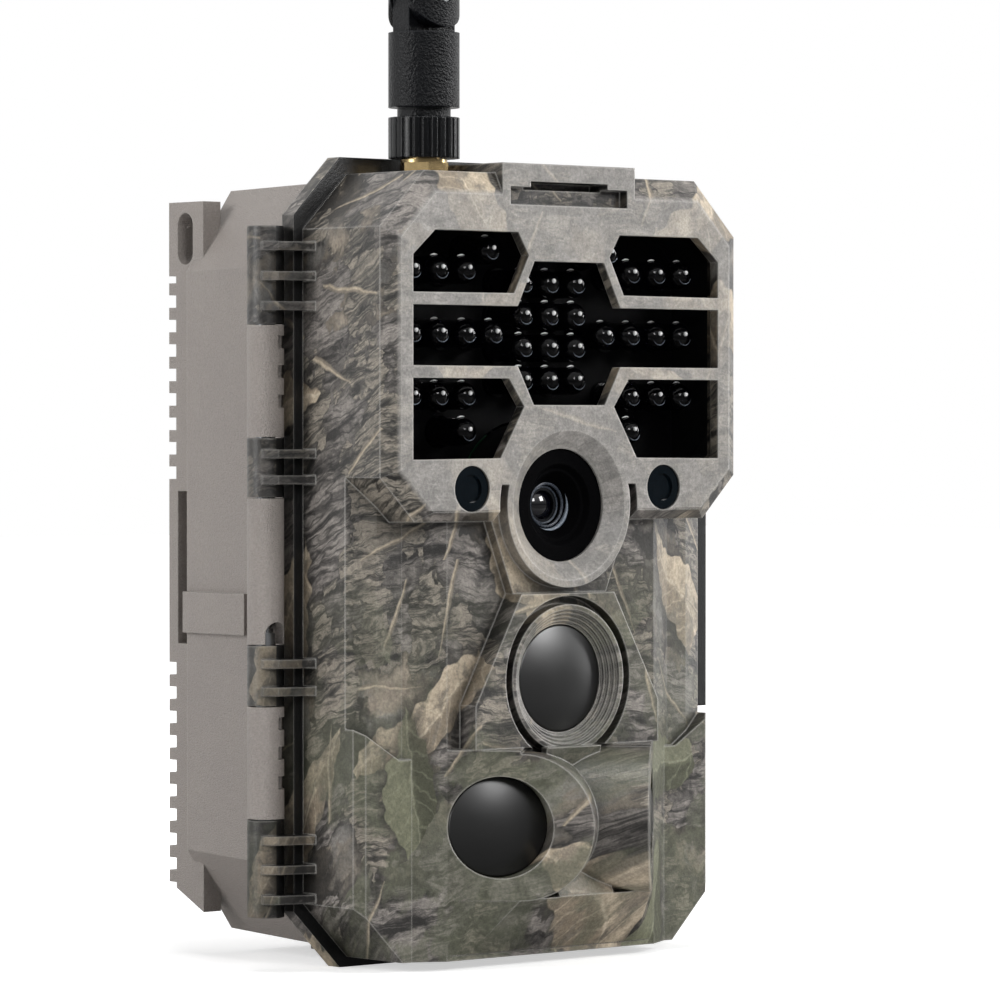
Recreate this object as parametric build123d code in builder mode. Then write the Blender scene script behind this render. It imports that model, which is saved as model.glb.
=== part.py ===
from build123d import *
import os
from math import cos, sin, radians, sqrt, hypot, atan2, degrees

# Trail camera, millimetres. X runs across the camera, -Y is forward, +Z is up.
# Y = 0 is the parting plane between the front cover and the rear case, X = 0 the middle,
# and Z = 0 the plane that the tripod foot and the cover's rim stand on.

# ---- Front cover ----
rim_half_width = 44.7
rim_height = 145.0
rim_depth = 3.3
rim_corner = 10.5
body_half_width = 42.7
body_bottom = 1.8
body_top = 142.0
body_corner = 10.1
wall_depth = 15.1
bevel_half_width = 37.4
bevel_depth = 17.4
panel_half_width = 32.1
panel_depth = 18.0
column_half_width = 25.0
column_depth = 22.1
lower_panel_depth = 18.9
lower_panel_bevel = 1.6
lower_panel_top = 43.5
lower_panel_step = 37.8
lower_panel_step_half = 33.4
cover_wall = 2.2
cover_cavity_depth = 13.4

# ---- Infrared block on the cover ----
block_side_depth = 24.7
block_depth = 26.8
block_face_half_width = 39.5
block_face_top = 138.0
block_face_bottom = 81.7
block_face_corner_top = 8.0
block_face_corner_bottom = 7.5
block_side_bottom = 80.0
block_side_corner_bottom = 7.9
frame_plate = 2.2
window_corner = 0.9
channel_half_width = 14.1
channel_drop = 1.6
visor_half_width = 15.9
visor_top = 143.8
visor_slot_half_width = 9.3
visor_slot_bottom = 139.2
visor_slot_top = 140.6

# ---- Lens and sensors ----
lens_height = 82.7
lens_ring_radius = 14.8
lens_gap_radius = 16.6
lens_gap_top = 86.5
funnel_radius = 13.5
lens_bore_radius = 10.2
funnel_depth = 2.3
hex_plate_depth = 24.2
side_sensor_x = 23.1
side_sensor_height = 85.8
side_sensor_radius = 4.1
centre_pir_height = 51.5
pir_groove_radius = 14.9
pir_ring_radius = 13.4
pir_lens_radius = 9.7
pod_depth = 26.5
pod_half_width = 22.0
pod_bottom = 39.4
pod_shoulder = 47.3
pod_top = 66.9
pod_top_half_width = 11.2
prow_depth = 40.8
prow_half_width = 6.5
prow_bottom = 12.6
chin_top = 12.9
side_pir_height = 25.7
side_pir_x = 17.0
side_pir_y = -26.6
side_pir_turn = 29.0
side_pir_radius = 9.0
boss_radius = 13.1
lens_clearance = 0.05
lens_glass_radius = 2.6
lens_glass_depth = 19.9
lens_glass_curve = 4.2
pir_lens_thickness = 0.9

# ---- Hinge on the left side ----
pin_x = -48.5
pin_radius = 1.75
knuckle_radius = 3.3
pin_clearance = 0.05
knuckle_gap = 0.2
fin_thickness = 1.6
fin_depth_at_wall = 7.0
case_knuckles = [(95.0, 114.8), (58.2, 84.1), (27.2, 47.1)]
cover_knuckle_bottom = 9.7
cover_knuckle_top = 132.4
fin_heights = [129.6, 124.3, 119.0, 92.8, 88.2, 55.6, 50.7, 24.3, 19.1, 13.8]
notch_top = 62.2
notch_half_width = 2.1

# ---- Rear case ----
case_front_half_width = 43.0
case_back_half_width = 41.5
case_front_bottom = 3.2
case_front_top = 140.8
case_back_bottom = 4.4
case_back_top = 140.2
case_corner_width = 10.3
case_corner_height = 15.0
case_depth = 31.8
case_wall = 2.4
parting_gap = 0.2
band_bottom = 59.2
band_top = 66.7
band_front = 12.6
band_proud = 1.0
rib_x = 38.0
rib_thickness = 4.0
rib_back = 36.9
rib_tooth_back = 39.0
rib_bottom = 8.0
rib_top = 138.0
tooth_pitch = 4.5
tooth_height = 2.2
strap_slot_bottom = 57.0
strap_slot_top = 85.0
strap_slot_back = 36.4
lock_hole_bottom = 126.5
lock_hole_top = 136.0
foot_half_width = 17.0
foot_front = 3.0
foot_back = 28.0
socket_y = (foot_front + foot_back) / 2
insert_bore_radius = 3.175
insert_radius = 4.5
insert_length = 9.0
gasket_width = 1.2
gasket_depth = 1.6

# ---- Latch on the right side ----
latch_pin_x = 47.3
latch_pin_y = 6.0
latch_pin_radius = 1.25
latch_bottom = 44.5
latch_top = 96.0
latch_inner_x = 46.3
latch_thickness = 1.8
latch_front = -12.4
latch_barrel_radius = 2.6
latch_ear_radius = 3.0
latch_ear_thickness = 5.0
latch_ears = [53.0, 83.0]
catch_height = 14.0

# ---- Antenna ----
antenna_x = -20.5
antenna_y = -10.5
stub_radius = 3.0
stub_bottom = 136.2
stub_top = 151.0
nut_radius = 4.6
nut_height = 2.1
antenna_radius = 6.4
collar_bottom = 144.9
collar_height = 7.3
neck_height = 1.8
barrel_height = 13.4
antenna_length = 195.0
antenna_tongue = 4.4
antenna_pin_radius = 1.5
antenna_pin_lift = 6.8
cheek_radius = 6.0
whip_tip_radius = 4.4

# ---- Inside the cover ----
led_radius = 2.5
led_length = 9.4
led_pitch = 6.35
filter_thickness = 1.2
board_thickness = 1.6
main_board_y = -6.0
image_board_y = -8.0
image_board_thickness = 1.5
main_half_width = 33.0
main_bottom = 9.0
main_top = 79.0
main_front = main_board_y - board_thickness
board_holes = [(x, z) for x in (-29.0, 29.0) for z in (main_bottom + 3, main_top - 3)]
image_board_holes = [(-12.0, 72.5), (12.0, 72.5)]
panel_screw_places = [(-36.6, 17), (36.6, 17), (-36.6, 76), (36.6, 76), (-27.5, 136.8), (27.5, 136.8)]
screw_radius = 1.2
screw_head_radius = 2.2
post_radius = 2.5
panel_thickness = 2.0
panel_clearance = 0.4
panel_back = -0.4
key_radius = 3.6
key_spacing = 10.6
keypad_height = 58.0
key_proud = 0.8
key_travel = 0.6
key_clearance = 0.25
switch_travel = 5.0
switch_x = 24.0
switch_height = 60.0
card_x = 37.0
card_height = 46.0

# ---- Batteries ----
cell_radius = 7.1
cell_length = 50.0
cell_pitch = 14.7
cell_rows = [15.0, 74.0]
holder_half_width = 30.6
holder_front = 12.6
holder_floor = 1.8

os.makedirs("parts", exist_ok=True)


def depth_plane(y):
    """Upright plane facing forward at depth y: sketch x is X and sketch y is Z."""
    return Plane.XZ.offset(-y)


def mirrored(points):
    """Closed outline from its right-hand points, bottom to top."""
    return points + [(-x, z) for x, z in reversed(points)]


def octagon(half_width, low, high, corner_x, corner_z):
    """Rectangle with four cut corners, symmetric about x = 0."""
    right = [(half_width - corner_x, low), (half_width, low + corner_z),
             (half_width, high - corner_z), (half_width - corner_x, high)]
    return mirrored(right)


def plan_slab(plan, outline, bottom, top):
    """Plan section pulled up from bottom to top and kept inside a front outline."""
    with BuildPart() as slab:
        with BuildSketch(Plane.XY.offset(bottom)):
            Polygon(*plan, align=None)
        extrude(amount=top - bottom)
        with BuildSketch(depth_plane(0)):
            Polygon(*outline, align=None)
        extrude(amount=column_depth + 1, mode=Mode.INTERSECT)
    return slab.part


# ================= Front cover =================
cover_plan = [(-body_half_width, 0), (-body_half_width, -wall_depth), (-bevel_half_width, -bevel_depth),
              (-panel_half_width, -panel_depth), (-column_half_width, -column_depth),
              (column_half_width, -column_depth), (panel_half_width, -panel_depth),
              (bevel_half_width, -bevel_depth), (body_half_width, -wall_depth), (body_half_width, 0)]
body_outline = octagon(body_half_width, body_bottom, body_top, body_corner, body_corner)
cover_body = plan_slab(cover_plan, body_outline, body_bottom, body_top)

lower_plan = mirrored([(body_half_width, 0),
                       (body_half_width, lower_panel_bevel - lower_panel_depth),
                       (body_half_width - lower_panel_bevel, -lower_panel_depth)])
lower_outline = mirrored([(body_half_width - body_corner, body_bottom),
                          (body_half_width, body_bottom + body_corner),
                          (body_half_width, lower_panel_top),
                          (lower_panel_step_half, lower_panel_step)])
lower_panel = plan_slab(lower_plan, lower_outline, body_bottom, lower_panel_top)

window_edges = {
    "upper": [(36.8, 120.5), (36.8, 127.1), (31.7, 131.5), (12.2, 131.5), (9.7, 127.4), (13.2, 120.6)],
    "lower": [(36.8, 91.0), (36.8, 105.4), (14.4, 105.4), (10.8, 100.4), (16.4, 91.2)],
}
cross_window = mirrored([(8.6, 100.7), (12.4, 107.6), (36.8, 107.6), (36.8, 118.3),
                         (12.4, 118.3), (8.4, 126.4)])

block_side = mirrored([(body_half_width - block_side_corner_bottom, block_side_bottom),
                       (body_half_width, block_side_bottom + block_side_corner_bottom),
                       (body_half_width, body_top - body_corner),
                       (body_half_width - body_corner, body_top)])
block_face = mirrored([(block_face_half_width - block_face_corner_bottom, block_face_bottom),
                       (block_face_half_width, block_face_bottom + block_face_corner_bottom),
                       (block_face_half_width, block_face_top - block_face_corner_top),
                       (block_face_half_width - block_face_corner_top, block_face_top)])

face_line = Vector(column_half_width - prow_half_width, column_depth - prow_depth, 0)
face_length = face_line.length
face_direction = face_line.normalized()
boss_x = prow_half_width + boss_radius * face_direction.X
boss_y = -prow_depth - boss_radius * face_direction.Y
chin_foot_half_width = 20.0


def prow_plane(side):
    """Slanted face of the prow; sketch x runs from its outer edge to its inner edge."""
    along = Vector(-side * face_direction.X, face_direction.Y, 0)
    normal = Vector(side * -face_direction.Y, -face_direction.X, 0)
    corner = (side * column_half_width, -column_depth, side_pir_height)
    return Plane(origin=corner, x_dir=along * side * -1, z_dir=normal)


def side_pir_plane(side, shift=0.0):
    """Plane of a side sensor lens, turned outward, moved forward along its normal by shift."""
    normal = Vector(side * sin(radians(side_pir_turn)), -cos(radians(side_pir_turn)), 0)
    centre = Vector(side * side_pir_x, side_pir_y, side_pir_height) + normal * shift
    return Plane(origin=centre, x_dir=(0, 0, 1), z_dir=normal)


def knuckle_spans(gap):
    """Heights of the cover's own knuckles, between and outside those of the case."""
    edges = [cover_knuckle_top]
    for low, high in case_knuckles:
        edges += [high + gap, low - gap]
    edges.append(cover_knuckle_bottom)
    return [(edges[i + 1], edges[i]) for i in range(0, len(edges), 2)]


fin_plan = [(pin_x - 2.5, -1.4), (pin_x - 2.7, -2.6), (pin_x - 1.1, -5.1),
            (-body_half_width, -fin_depth_at_wall), (-body_half_width, -rim_depth),
            (-rim_half_width, -rim_depth), (pin_x + 2.4, -1.4)]

with BuildPart() as front_cover:
    add(cover_body)
    add(lower_panel)
    # Rim flange that overlaps the rear case
    with BuildSketch(depth_plane(0)):
        Polygon(*octagon(rim_half_width, 0, rim_height, rim_corner, rim_corner), align=None)
    extrude(amount=rim_depth)
    # Infrared block: straight sides, then a bevelled face
    with BuildSketch(depth_plane(0)):
        Polygon(*block_side, align=None)
    extrude(amount=block_side_depth)
    with BuildSketch(depth_plane(-block_side_depth)):
        Polygon(*block_side, align=None)
    with BuildSketch(depth_plane(-block_depth)):
        Polygon(*block_face, align=None)
    loft(ruled=True)
    # Visor over the block and the slot under it
    with BuildSketch(depth_plane(0)):
        with Locations((0, (visor_top + block_face_top) / 2)):
            Rectangle(2 * visor_half_width, visor_top - block_face_top)
    extrude(amount=block_depth)
    visor_edges = front_cover.edges().filter_by(Axis.Y).group_by(Axis.Z)[-1]
    with BuildSketch(depth_plane(-block_depth)):
        with Locations((0, block_face_top)):
            Rectangle(2 * channel_half_width, 2 * channel_drop)
    extrude(amount=-(block_depth - block_side_depth), mode=Mode.SUBTRACT)
    with BuildSketch(depth_plane(-block_depth)):
        with Locations((0, (visor_slot_bottom + visor_slot_top) / 2)):
            Rectangle(2 * visor_slot_half_width, visor_slot_top - visor_slot_bottom)
    extrude(amount=-5, mode=Mode.SUBTRACT)
    # Gap around the lower half of the lens ring
    with BuildSketch(depth_plane(-block_depth)):
        with Locations((0, lens_height)):
            Circle(lens_gap_radius)
        with Locations((0, lens_gap_top + lens_gap_radius)):
            Rectangle(3 * lens_gap_radius, 2 * lens_gap_radius, mode=Mode.SUBTRACT)
    extrude(amount=-(block_depth - column_depth), mode=Mode.SUBTRACT)
    # Hexagonal plate behind the ring, and the ring itself
    with BuildSketch(depth_plane(-column_depth)):
        Polygon(*mirrored([(pod_top_half_width, pod_top), (lens_gap_radius + 2.4, lens_gap_top),
                           (lens_gap_radius - 1, lens_gap_top + 4)]), align=None)
    extrude(amount=hex_plate_depth - column_depth)
    with BuildSketch(depth_plane(-column_depth)):
        with Locations((0, lens_height)):
            Circle(lens_ring_radius)
    extrude(amount=block_depth - column_depth)
    # Pod of the centre sensor
    with BuildSketch(depth_plane(-column_depth)):
        Polygon(*mirrored([(pod_half_width, pod_bottom), (pod_half_width, pod_shoulder),
                           (pod_top_half_width, pod_top)]), align=None)
    extrude(amount=pod_depth - column_depth)
    # Prow: sloping underside, then two slanted sensor bosses with a scoop between them
    with BuildSketch(Plane.XY.offset(body_bottom + 1)):
        Polygon(*mirrored([(column_half_width, 1 - column_depth), (column_half_width, -column_depth),
                           (chin_foot_half_width, -column_depth - 0.3)]), align=None)
    with BuildSketch(Plane.XY.offset(chin_top)):
        Polygon(*mirrored([(column_half_width, 1 - column_depth), (column_half_width, -column_depth),
                           (boss_x, boss_y)]), align=None)
    loft(ruled=True)
    for side in (-1, 1):
        with BuildSketch(prow_plane(side)):
            with Locations((side * -boss_radius / 2, (pod_bottom + prow_bottom) / 2 - side_pir_height)):
                Rectangle(face_length - boss_radius, pod_bottom - prow_bottom)
            with Locations((side * -(face_length - boss_radius), 0)):
                Circle(boss_radius)
        extrude(amount=-(prow_depth - column_depth))
    with BuildSketch(Plane.YZ.offset(-prow_half_width)):
        with BuildLine():
            scoop_foot = (boss_y, chin_top)
            scoop_head = (-column_depth - 6, pod_bottom)
            ThreePointArc(scoop_foot, (-column_depth - 7, chin_top + 6), scoop_head)
            Polyline(scoop_head, (-column_depth, pod_bottom), (-column_depth, chin_top - 1),
                     (-column_depth - 1, chin_top - 1), scoop_foot)
        make_face()
    extrude(amount=2 * prow_half_width)

    # ---- Hinge knuckles and fins ----
    for low, high in knuckle_spans(knuckle_gap):
        with BuildSketch(Plane.XY.offset(low)):
            with Locations((pin_x, 0)):
                Circle(knuckle_radius)
        extrude(amount=high - low)
    for fin_top in fin_heights:
        with BuildSketch(Plane.XY.offset(fin_top - fin_thickness)):
            Polygon(*fin_plan, align=None)
        extrude(amount=fin_thickness)

    # ---- Hollows ----
    inner_half = body_half_width - cover_wall - 0.3
    with BuildSketch(depth_plane(0)):
        Polygon(*octagon(inner_half, body_bottom + cover_wall + 0.3, body_top - cover_wall - 0.3,
                         body_corner - 0.9, body_corner - 0.9), align=None)
    extrude(amount=cover_cavity_depth, mode=Mode.SUBTRACT)
    with BuildSketch(depth_plane(0)):
        Polygon(*octagon(inner_half + 0.8, body_bottom + cover_wall - 0.5, body_top - cover_wall + 0.5,
                         body_corner - 0.6, body_corner - 0.6), align=None)
    extrude(amount=panel_thickness - panel_back, mode=Mode.SUBTRACT)
    with BuildSketch(depth_plane(0)):
        with Locations((0, (body_bottom + 4.2 + lens_gap_top) / 2)):
            Rectangle(2 * (column_half_width - cover_wall), lens_gap_top - body_bottom - 4.2)
    extrude(amount=column_depth - cover_wall, mode=Mode.SUBTRACT)
    with BuildSketch(depth_plane(0)):
        Polygon(*octagon(block_face_half_width - cover_wall, block_face_bottom + 2.8,
                         block_face_top - 3.5, 7.2, 7.2), align=None)
    extrude(amount=block_depth - frame_plate, mode=Mode.SUBTRACT)
    # Windows of the infrared block
    with BuildSketch(depth_plane(-block_depth)):
        for points in window_edges.values():
            Polygon(*points, align=None)
            Polygon(*[(-x, z) for x, z in reversed(points)], align=None)
        Polygon(*cross_window, align=None)
    extrude(amount=-frame_plate, mode=Mode.SUBTRACT)
    # Material under the lens so that its bore has a wall all round
    with BuildSketch(depth_plane(-cover_cavity_depth)):
        with Locations((0, lens_height)):
            Circle(lens_ring_radius)
    extrude(amount=block_depth - cover_cavity_depth - funnel_depth)
    with BuildSketch(depth_plane(-block_depth)):
        with Locations((0, lens_height)):
            Circle(lens_bore_radius)
    extrude(amount=-block_depth, mode=Mode.SUBTRACT)
    with BuildSketch(depth_plane(-block_depth)):
        with Locations((0, lens_height)):
            Circle(funnel_radius)
    with BuildSketch(depth_plane(funnel_depth - block_depth)):
        with Locations((0, lens_height)):
            Circle(lens_bore_radius)
    loft(ruled=True, mode=Mode.SUBTRACT)
    # Seats of the two small sensor windows
    with BuildSketch(depth_plane(-block_depth)):
        with Locations((-side_sensor_x, side_sensor_height), (side_sensor_x, side_sensor_height)):
            Circle(side_sensor_radius)
    extrude(amount=-1.4, mode=Mode.SUBTRACT)
    # Centre sensor: groove, stepped rings and bore
    with BuildSketch(depth_plane(-pod_depth)):
        with Locations((0, centre_pir_height)):
            Circle(pir_groove_radius)
            Circle(pir_ring_radius, mode=Mode.SUBTRACT)
    extrude(amount=-2.6, mode=Mode.SUBTRACT)
    for step in range(4):
        with BuildSketch(depth_plane(-pod_depth)):
            with Locations((0, centre_pir_height)):
                Circle(pir_ring_radius - 1.0 - 0.7 * step)
        extrude(amount=-0.6 * (step + 1), mode=Mode.SUBTRACT)
    with BuildSketch(depth_plane(-pod_depth)):
        with Locations((0, centre_pir_height)):
            Circle(pir_lens_radius + lens_clearance)
    extrude(amount=-(2.5 + pir_lens_thickness), mode=Mode.SUBTRACT)
    with BuildSketch(depth_plane(-pod_depth)):
        with Locations((0, centre_pir_height)):
            Circle(pir_lens_radius - 1)
    extrude(amount=-(pod_depth - column_depth + cover_wall), mode=Mode.SUBTRACT)
    # Side sensors: pockets sunk along the lens axis, and light bores behind
    for side in (-1, 1):
        with BuildSketch(side_pir_plane(side, -pir_lens_thickness)):
            Circle(side_pir_radius + lens_clearance)
        extrude(amount=20, mode=Mode.SUBTRACT)
        with BuildSketch(side_pir_plane(side, -pir_lens_thickness)):
            Circle(side_pir_radius - 1)
        extrude(amount=-8, mode=Mode.SUBTRACT)
    # Antenna socket hole with room for its inner nut, and the hinge bores
    with BuildSketch(Plane.XY.offset(body_top)):
        with Locations((antenna_x, antenna_y)):
            Circle(stub_radius + pin_clearance)
    extrude(amount=-2 * cover_wall, mode=Mode.SUBTRACT)
    with BuildSketch(Plane.XY.offset(body_top - cover_wall - 0.3)):
        with Locations((antenna_x, antenna_y)):
            Circle(nut_radius)
    extrude(amount=-7, mode=Mode.SUBTRACT)
    with BuildSketch(Plane.XY.offset(cover_knuckle_bottom)):
        with Locations((pin_x, 0)):
            Circle(pin_radius + pin_clearance)
    extrude(amount=cover_knuckle_top - cover_knuckle_bottom, mode=Mode.SUBTRACT)
    # Screw posts for the panel and the boards
    with BuildSketch(depth_plane(panel_back - panel_thickness)):
        with Locations(*panel_screw_places):
            Circle(post_radius)
    extrude(amount=cover_cavity_depth + panel_back - panel_thickness)
    with BuildSketch(depth_plane(main_front)):
        with Locations(*board_holes):
            Circle(post_radius)
    extrude(amount=cover_cavity_depth + main_front)
    with BuildSketch(depth_plane(image_board_y - image_board_thickness)):
        with Locations(*image_board_holes):
            Circle(post_radius - 0.5)
    extrude(amount=column_depth - cover_wall + image_board_y - image_board_thickness)
    with BuildSketch(depth_plane(panel_back - panel_thickness)):
        with Locations(*panel_screw_places, *board_holes):
            Circle(screw_radius)
    extrude(amount=9.5, mode=Mode.SUBTRACT)
    # Catch rib of the latch
    with BuildSketch(Plane.XY.offset((latch_bottom + latch_top - catch_height) / 2)):
        Polygon((body_half_width, -7.6), (body_half_width, -10.6), (rim_half_width, -9.6),
                (rim_half_width, -8.6), align=None)
    extrude(amount=catch_height)


# ================= Cover electronics and windows =================
def flat_plate(outline, front, back):
    """Flat plate with an upright outline, from depth front to depth back (front is nearer -Y)."""
    with BuildPart() as plate:
        with BuildSketch(depth_plane(back)):
            Polygon(*outline, align=None)
        extrude(amount=back - front)
    return plate.part


filter_back = -(block_depth - frame_plate - filter_thickness)
board_back = -cover_cavity_depth + board_thickness
led_outline = octagon(block_face_half_width - 0.9, block_face_bottom + 1.4, block_face_top - 4.6, 8.0, 8.0)

with BuildPart() as ir_filter:
    with BuildSketch(depth_plane(filter_back)):
        Polygon(*octagon(block_face_half_width - cover_wall - 0.3, 89.0, block_face_top - 3.8, 7.2, 7.2),
                align=None)
        with Locations((0, lens_height)):
            Circle(lens_ring_radius + 0.3, mode=Mode.SUBTRACT)
    extrude(amount=filter_thickness)

led_places = [(x, z) for x in (-led_pitch, 0, led_pitch) for z in (105.1, 111.0, 116.8, 122.6)]
for side in (-1, 1):
    led_places += [(side * (13.5 + led_pitch * i), 113.4) for i in range(4)]
    led_places += [(side * (19.9 + led_pitch * i), z) for i in range(3) for z in (124.7, 102.3)]
    led_places += [(side * 14.3, 128.3), (side * 19.9, 95.9)]

with BuildPart() as led_board:
    add(flat_plate(led_outline, -cover_cavity_depth, board_back))
    with BuildSketch(depth_plane(board_back)):
        with Locations((0, lens_height)):
            Circle(lens_ring_radius + 0.4)
    extrude(amount=board_thickness, mode=Mode.SUBTRACT)

with BuildPart() as ir_leds:
    with BuildSketch(depth_plane(-cover_cavity_depth)):
        with Locations(*led_places):
            Circle(led_radius + 0.4)
    extrude(amount=1)
    with BuildSketch(depth_plane(-cover_cavity_depth)):
        with Locations(*led_places):
            Circle(led_radius)
    extrude(amount=led_length - led_radius)
    dome_y = -cover_cavity_depth - led_length + led_radius
    with Locations(*[(x, dome_y, z) for x, z in led_places]):
        Sphere(led_radius)

with BuildPart() as lens_hood:
    # Profile in the plane x = 0, turned about the lens axis
    with BuildSketch(Plane.YZ):
        Polygon((-24.0, lens_height + lens_bore_radius - lens_clearance),
                (-24.0, lens_height + 7.4), (-23.0, lens_height + 6.6), (-23.0, lens_height + 6.1),
                (-19.6, lens_height + 3.4), (-19.6, lens_height + 3.15), (-15.0, lens_height + 3.15),
                (-15.0, lens_height + lens_bore_radius - lens_clearance), align=None)
    revolve(axis=Axis((0, 0, lens_height), (0, 1, 0)))

with BuildPart() as lens_barrel:
    with BuildSketch(depth_plane(-9.5)):
        with Locations((0, lens_height)):
            Circle(3.1)
    extrude(amount=10.0)
    with BuildSketch(depth_plane(-9.5)):
        with Locations((0, lens_height)):
            Circle(6.0)
    extrude(amount=5.0)
    with BuildSketch(depth_plane(-19.5)):
        with Locations((0, lens_height)):
            Circle(2.65)
    extrude(amount=-3.0, mode=Mode.SUBTRACT)

with BuildPart() as lens_element:
    with BuildSketch(depth_plane(-16.5)):
        with Locations((0, lens_height)):
            Circle(lens_glass_radius)
    extrude(amount=3.5)
    with Locations((0, lens_glass_curve - lens_glass_depth, lens_height)):
        Sphere(lens_glass_curve, mode=Mode.INTERSECT)

with BuildPart() as image_board:
    with BuildSketch(depth_plane(image_board_y)):
        with Locations((0, lens_height - 1)):
            Rectangle(30, 27)
    extrude(amount=image_board_thickness)

with BuildPart() as centre_pir_lens:
    pir_back = -pod_depth + 2.5 + pir_lens_thickness
    with BuildSketch(depth_plane(pir_back)):
        with Locations((0, centre_pir_height)):
            Circle(pir_lens_radius)
    extrude(amount=pir_lens_thickness)


def side_pir_lens(side):
    """Round lens of a side sensor in its turned pocket."""
    with BuildPart() as lens:
        with BuildSketch(side_pir_plane(side, -pir_lens_thickness)):
            Circle(side_pir_radius)
        extrude(amount=pir_lens_thickness)
    return lens


left_pir_lens = side_pir_lens(-1)
right_pir_lens = side_pir_lens(1)


with BuildPart() as main_board:
    with BuildSketch(depth_plane(main_board_y)):
        with Locations((0, (main_bottom + main_top) / 2)):
            Rectangle(2 * main_half_width, main_top - main_bottom)
        with Locations(*board_holes):
            Circle(screw_radius + 0.1, mode=Mode.SUBTRACT)
    extrude(amount=board_thickness)

with BuildPart() as pir_sensors:
    with BuildSketch(depth_plane(main_front)):
        with Locations((0, centre_pir_height), (-12, side_pir_height), (12, side_pir_height)):
            Circle(4.1)
    extrude(amount=4.5)

with BuildPart() as board_chips:
    with BuildSketch(depth_plane(main_front)):
        with Locations((-24, 64), (24, 64)):
            Rectangle(12, 12)
        with Locations((-24, 42), (24, 42)):
            Rectangle(8, 14)
    extrude(amount=1.4)

with BuildPart() as board_screws:
    with BuildSketch(depth_plane(main_board_y)):
        with Locations(*board_holes):
            Circle(screw_head_radius)
    extrude(amount=-1.3)
    with BuildSketch(depth_plane(main_board_y)):
        with Locations(*board_holes):
            Circle(screw_radius)
    extrude(amount=5.5)


def window_disc(side):
    """Small round window in the infrared block."""
    with BuildPart() as disc:
        with BuildSketch(depth_plane(1.4 - block_depth)):
            with Locations((side * side_sensor_x, side_sensor_height)):
                Circle(side_sensor_radius - lens_clearance)
        extrude(amount=1.0)
        with BuildSketch(depth_plane(0.4 - block_depth)):
            with Locations((side * side_sensor_x, side_sensor_height)):
                Circle(2.5)
        extrude(amount=-0.5, mode=Mode.SUBTRACT)
    return disc


light_sensor_window = window_disc(-1)
indicator_window = window_disc(1)

with BuildPart() as antenna_connector:
    with BuildSketch(Plane.XY.offset(body_top)):
        with Locations((antenna_x, antenna_y)):
            RegularPolygon(nut_radius, 6)
    extrude(amount=nut_height)
    with BuildSketch(Plane.XY.offset(body_top + nut_height)):
        with Locations((antenna_x, antenna_y)):
            Circle(nut_radius - 0.4)
    extrude(amount=0.6)
    with BuildSketch(Plane.XY.offset(stub_bottom)):
        with Locations((antenna_x, antenna_y)):
            Circle(stub_radius)
    extrude(amount=stub_top - stub_bottom)
    with BuildSketch(Plane.XY.offset(body_top - cover_wall - 0.3)):
        with Locations((antenna_x, antenna_y)):
            Circle(nut_radius - 0.4)
    extrude(amount=-1.6)

# ================= Control panel inside the cover =================
panel_front = panel_back - panel_thickness
panel_outline = octagon(inner_half + 0.8 - panel_clearance, body_bottom + cover_wall - 0.5 + panel_clearance,
                        body_top - cover_wall + 0.5 - panel_clearance, body_corner - 0.6, body_corner - 0.6)
screen_low, screen_high, screen_half = 86.0, 124.0, 25.4
key_places = {"key_up": (0, key_spacing), "key_down": (0, -key_spacing), "key_left": (-key_spacing, 0),
              "key_right": (key_spacing, 0), "key_ok": (0, 0)}

with BuildPart() as control_panel:
    add(flat_plate(panel_outline, panel_front, panel_back))
    with BuildSketch(depth_plane(panel_back)):
        with Locations((0, (screen_low + screen_high) / 2)):
            Rectangle(2 * screen_half, screen_high - screen_low)
        with Locations(*[(x, keypad_height + z) for x, z in key_places.values()]):
            Circle(key_radius + key_clearance)
        with Locations((switch_x, switch_height + switch_travel / 2)):
            SlotCenterToCenter(switch_travel + 1.0, 4.0 + 2 * key_clearance, rotation=90)
        with Locations((card_x, card_height)):
            Rectangle(1.6, 12.0)
        with Locations((-card_x, card_height)):
            Rectangle(4.4, 9.4)
        with Locations(*panel_screw_places):
            Circle(screw_radius + 0.1)
        with Locations((-16, 24)):
            with PolarLocations(4.2, 6):
                Circle(0.9)
            Circle(0.9)
    extrude(amount=panel_thickness, mode=Mode.SUBTRACT)
    with BuildSketch(depth_plane(panel_back)):
        with Locations(*panel_screw_places):
            Circle(screw_head_radius + 0.1)
    extrude(amount=1.0, mode=Mode.SUBTRACT)

with BuildPart() as panel_screws:
    with BuildSketch(depth_plane(panel_back)):
        with Locations(*panel_screw_places):
            Circle(screw_head_radius)
    extrude(amount=1.0)
    with BuildSketch(depth_plane(panel_back)):
        with Locations(*panel_screw_places):
            Circle(screw_radius)
    extrude(amount=9)

with BuildPart() as display_module:
    with BuildSketch(depth_plane(panel_front)):
        with Locations((0, (screen_low + screen_high) / 2)):
            Rectangle(2 * screen_half + 8, screen_high - screen_low + 6)
    extrude(amount=3.0)

with BuildPart() as display_glass:
    with BuildSketch(depth_plane(panel_back - 0.4)):
        with Locations((0, (screen_low + screen_high) / 2)):
            Rectangle(2 * screen_half - 0.4, screen_high - screen_low - 0.4)
    extrude(amount=panel_thickness - 0.4)

with BuildPart() as speaker:
    with BuildSketch(depth_plane(panel_front)):
        with Locations((-16, 24)):
            Circle(8)
    extrude(amount=3.2)

switch_top = main_board_y + 1.0
with BuildPart() as key_switches:
    with BuildSketch(depth_plane(main_board_y)):
        with Locations(*[(x, keypad_height + z) for x, z in key_places.values()]):
            Rectangle(5, 5)
        with Locations((switch_x, switch_height + switch_travel / 2)):
            Rectangle(6, 12)
    extrude(amount=main_board_y - switch_top)


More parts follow.
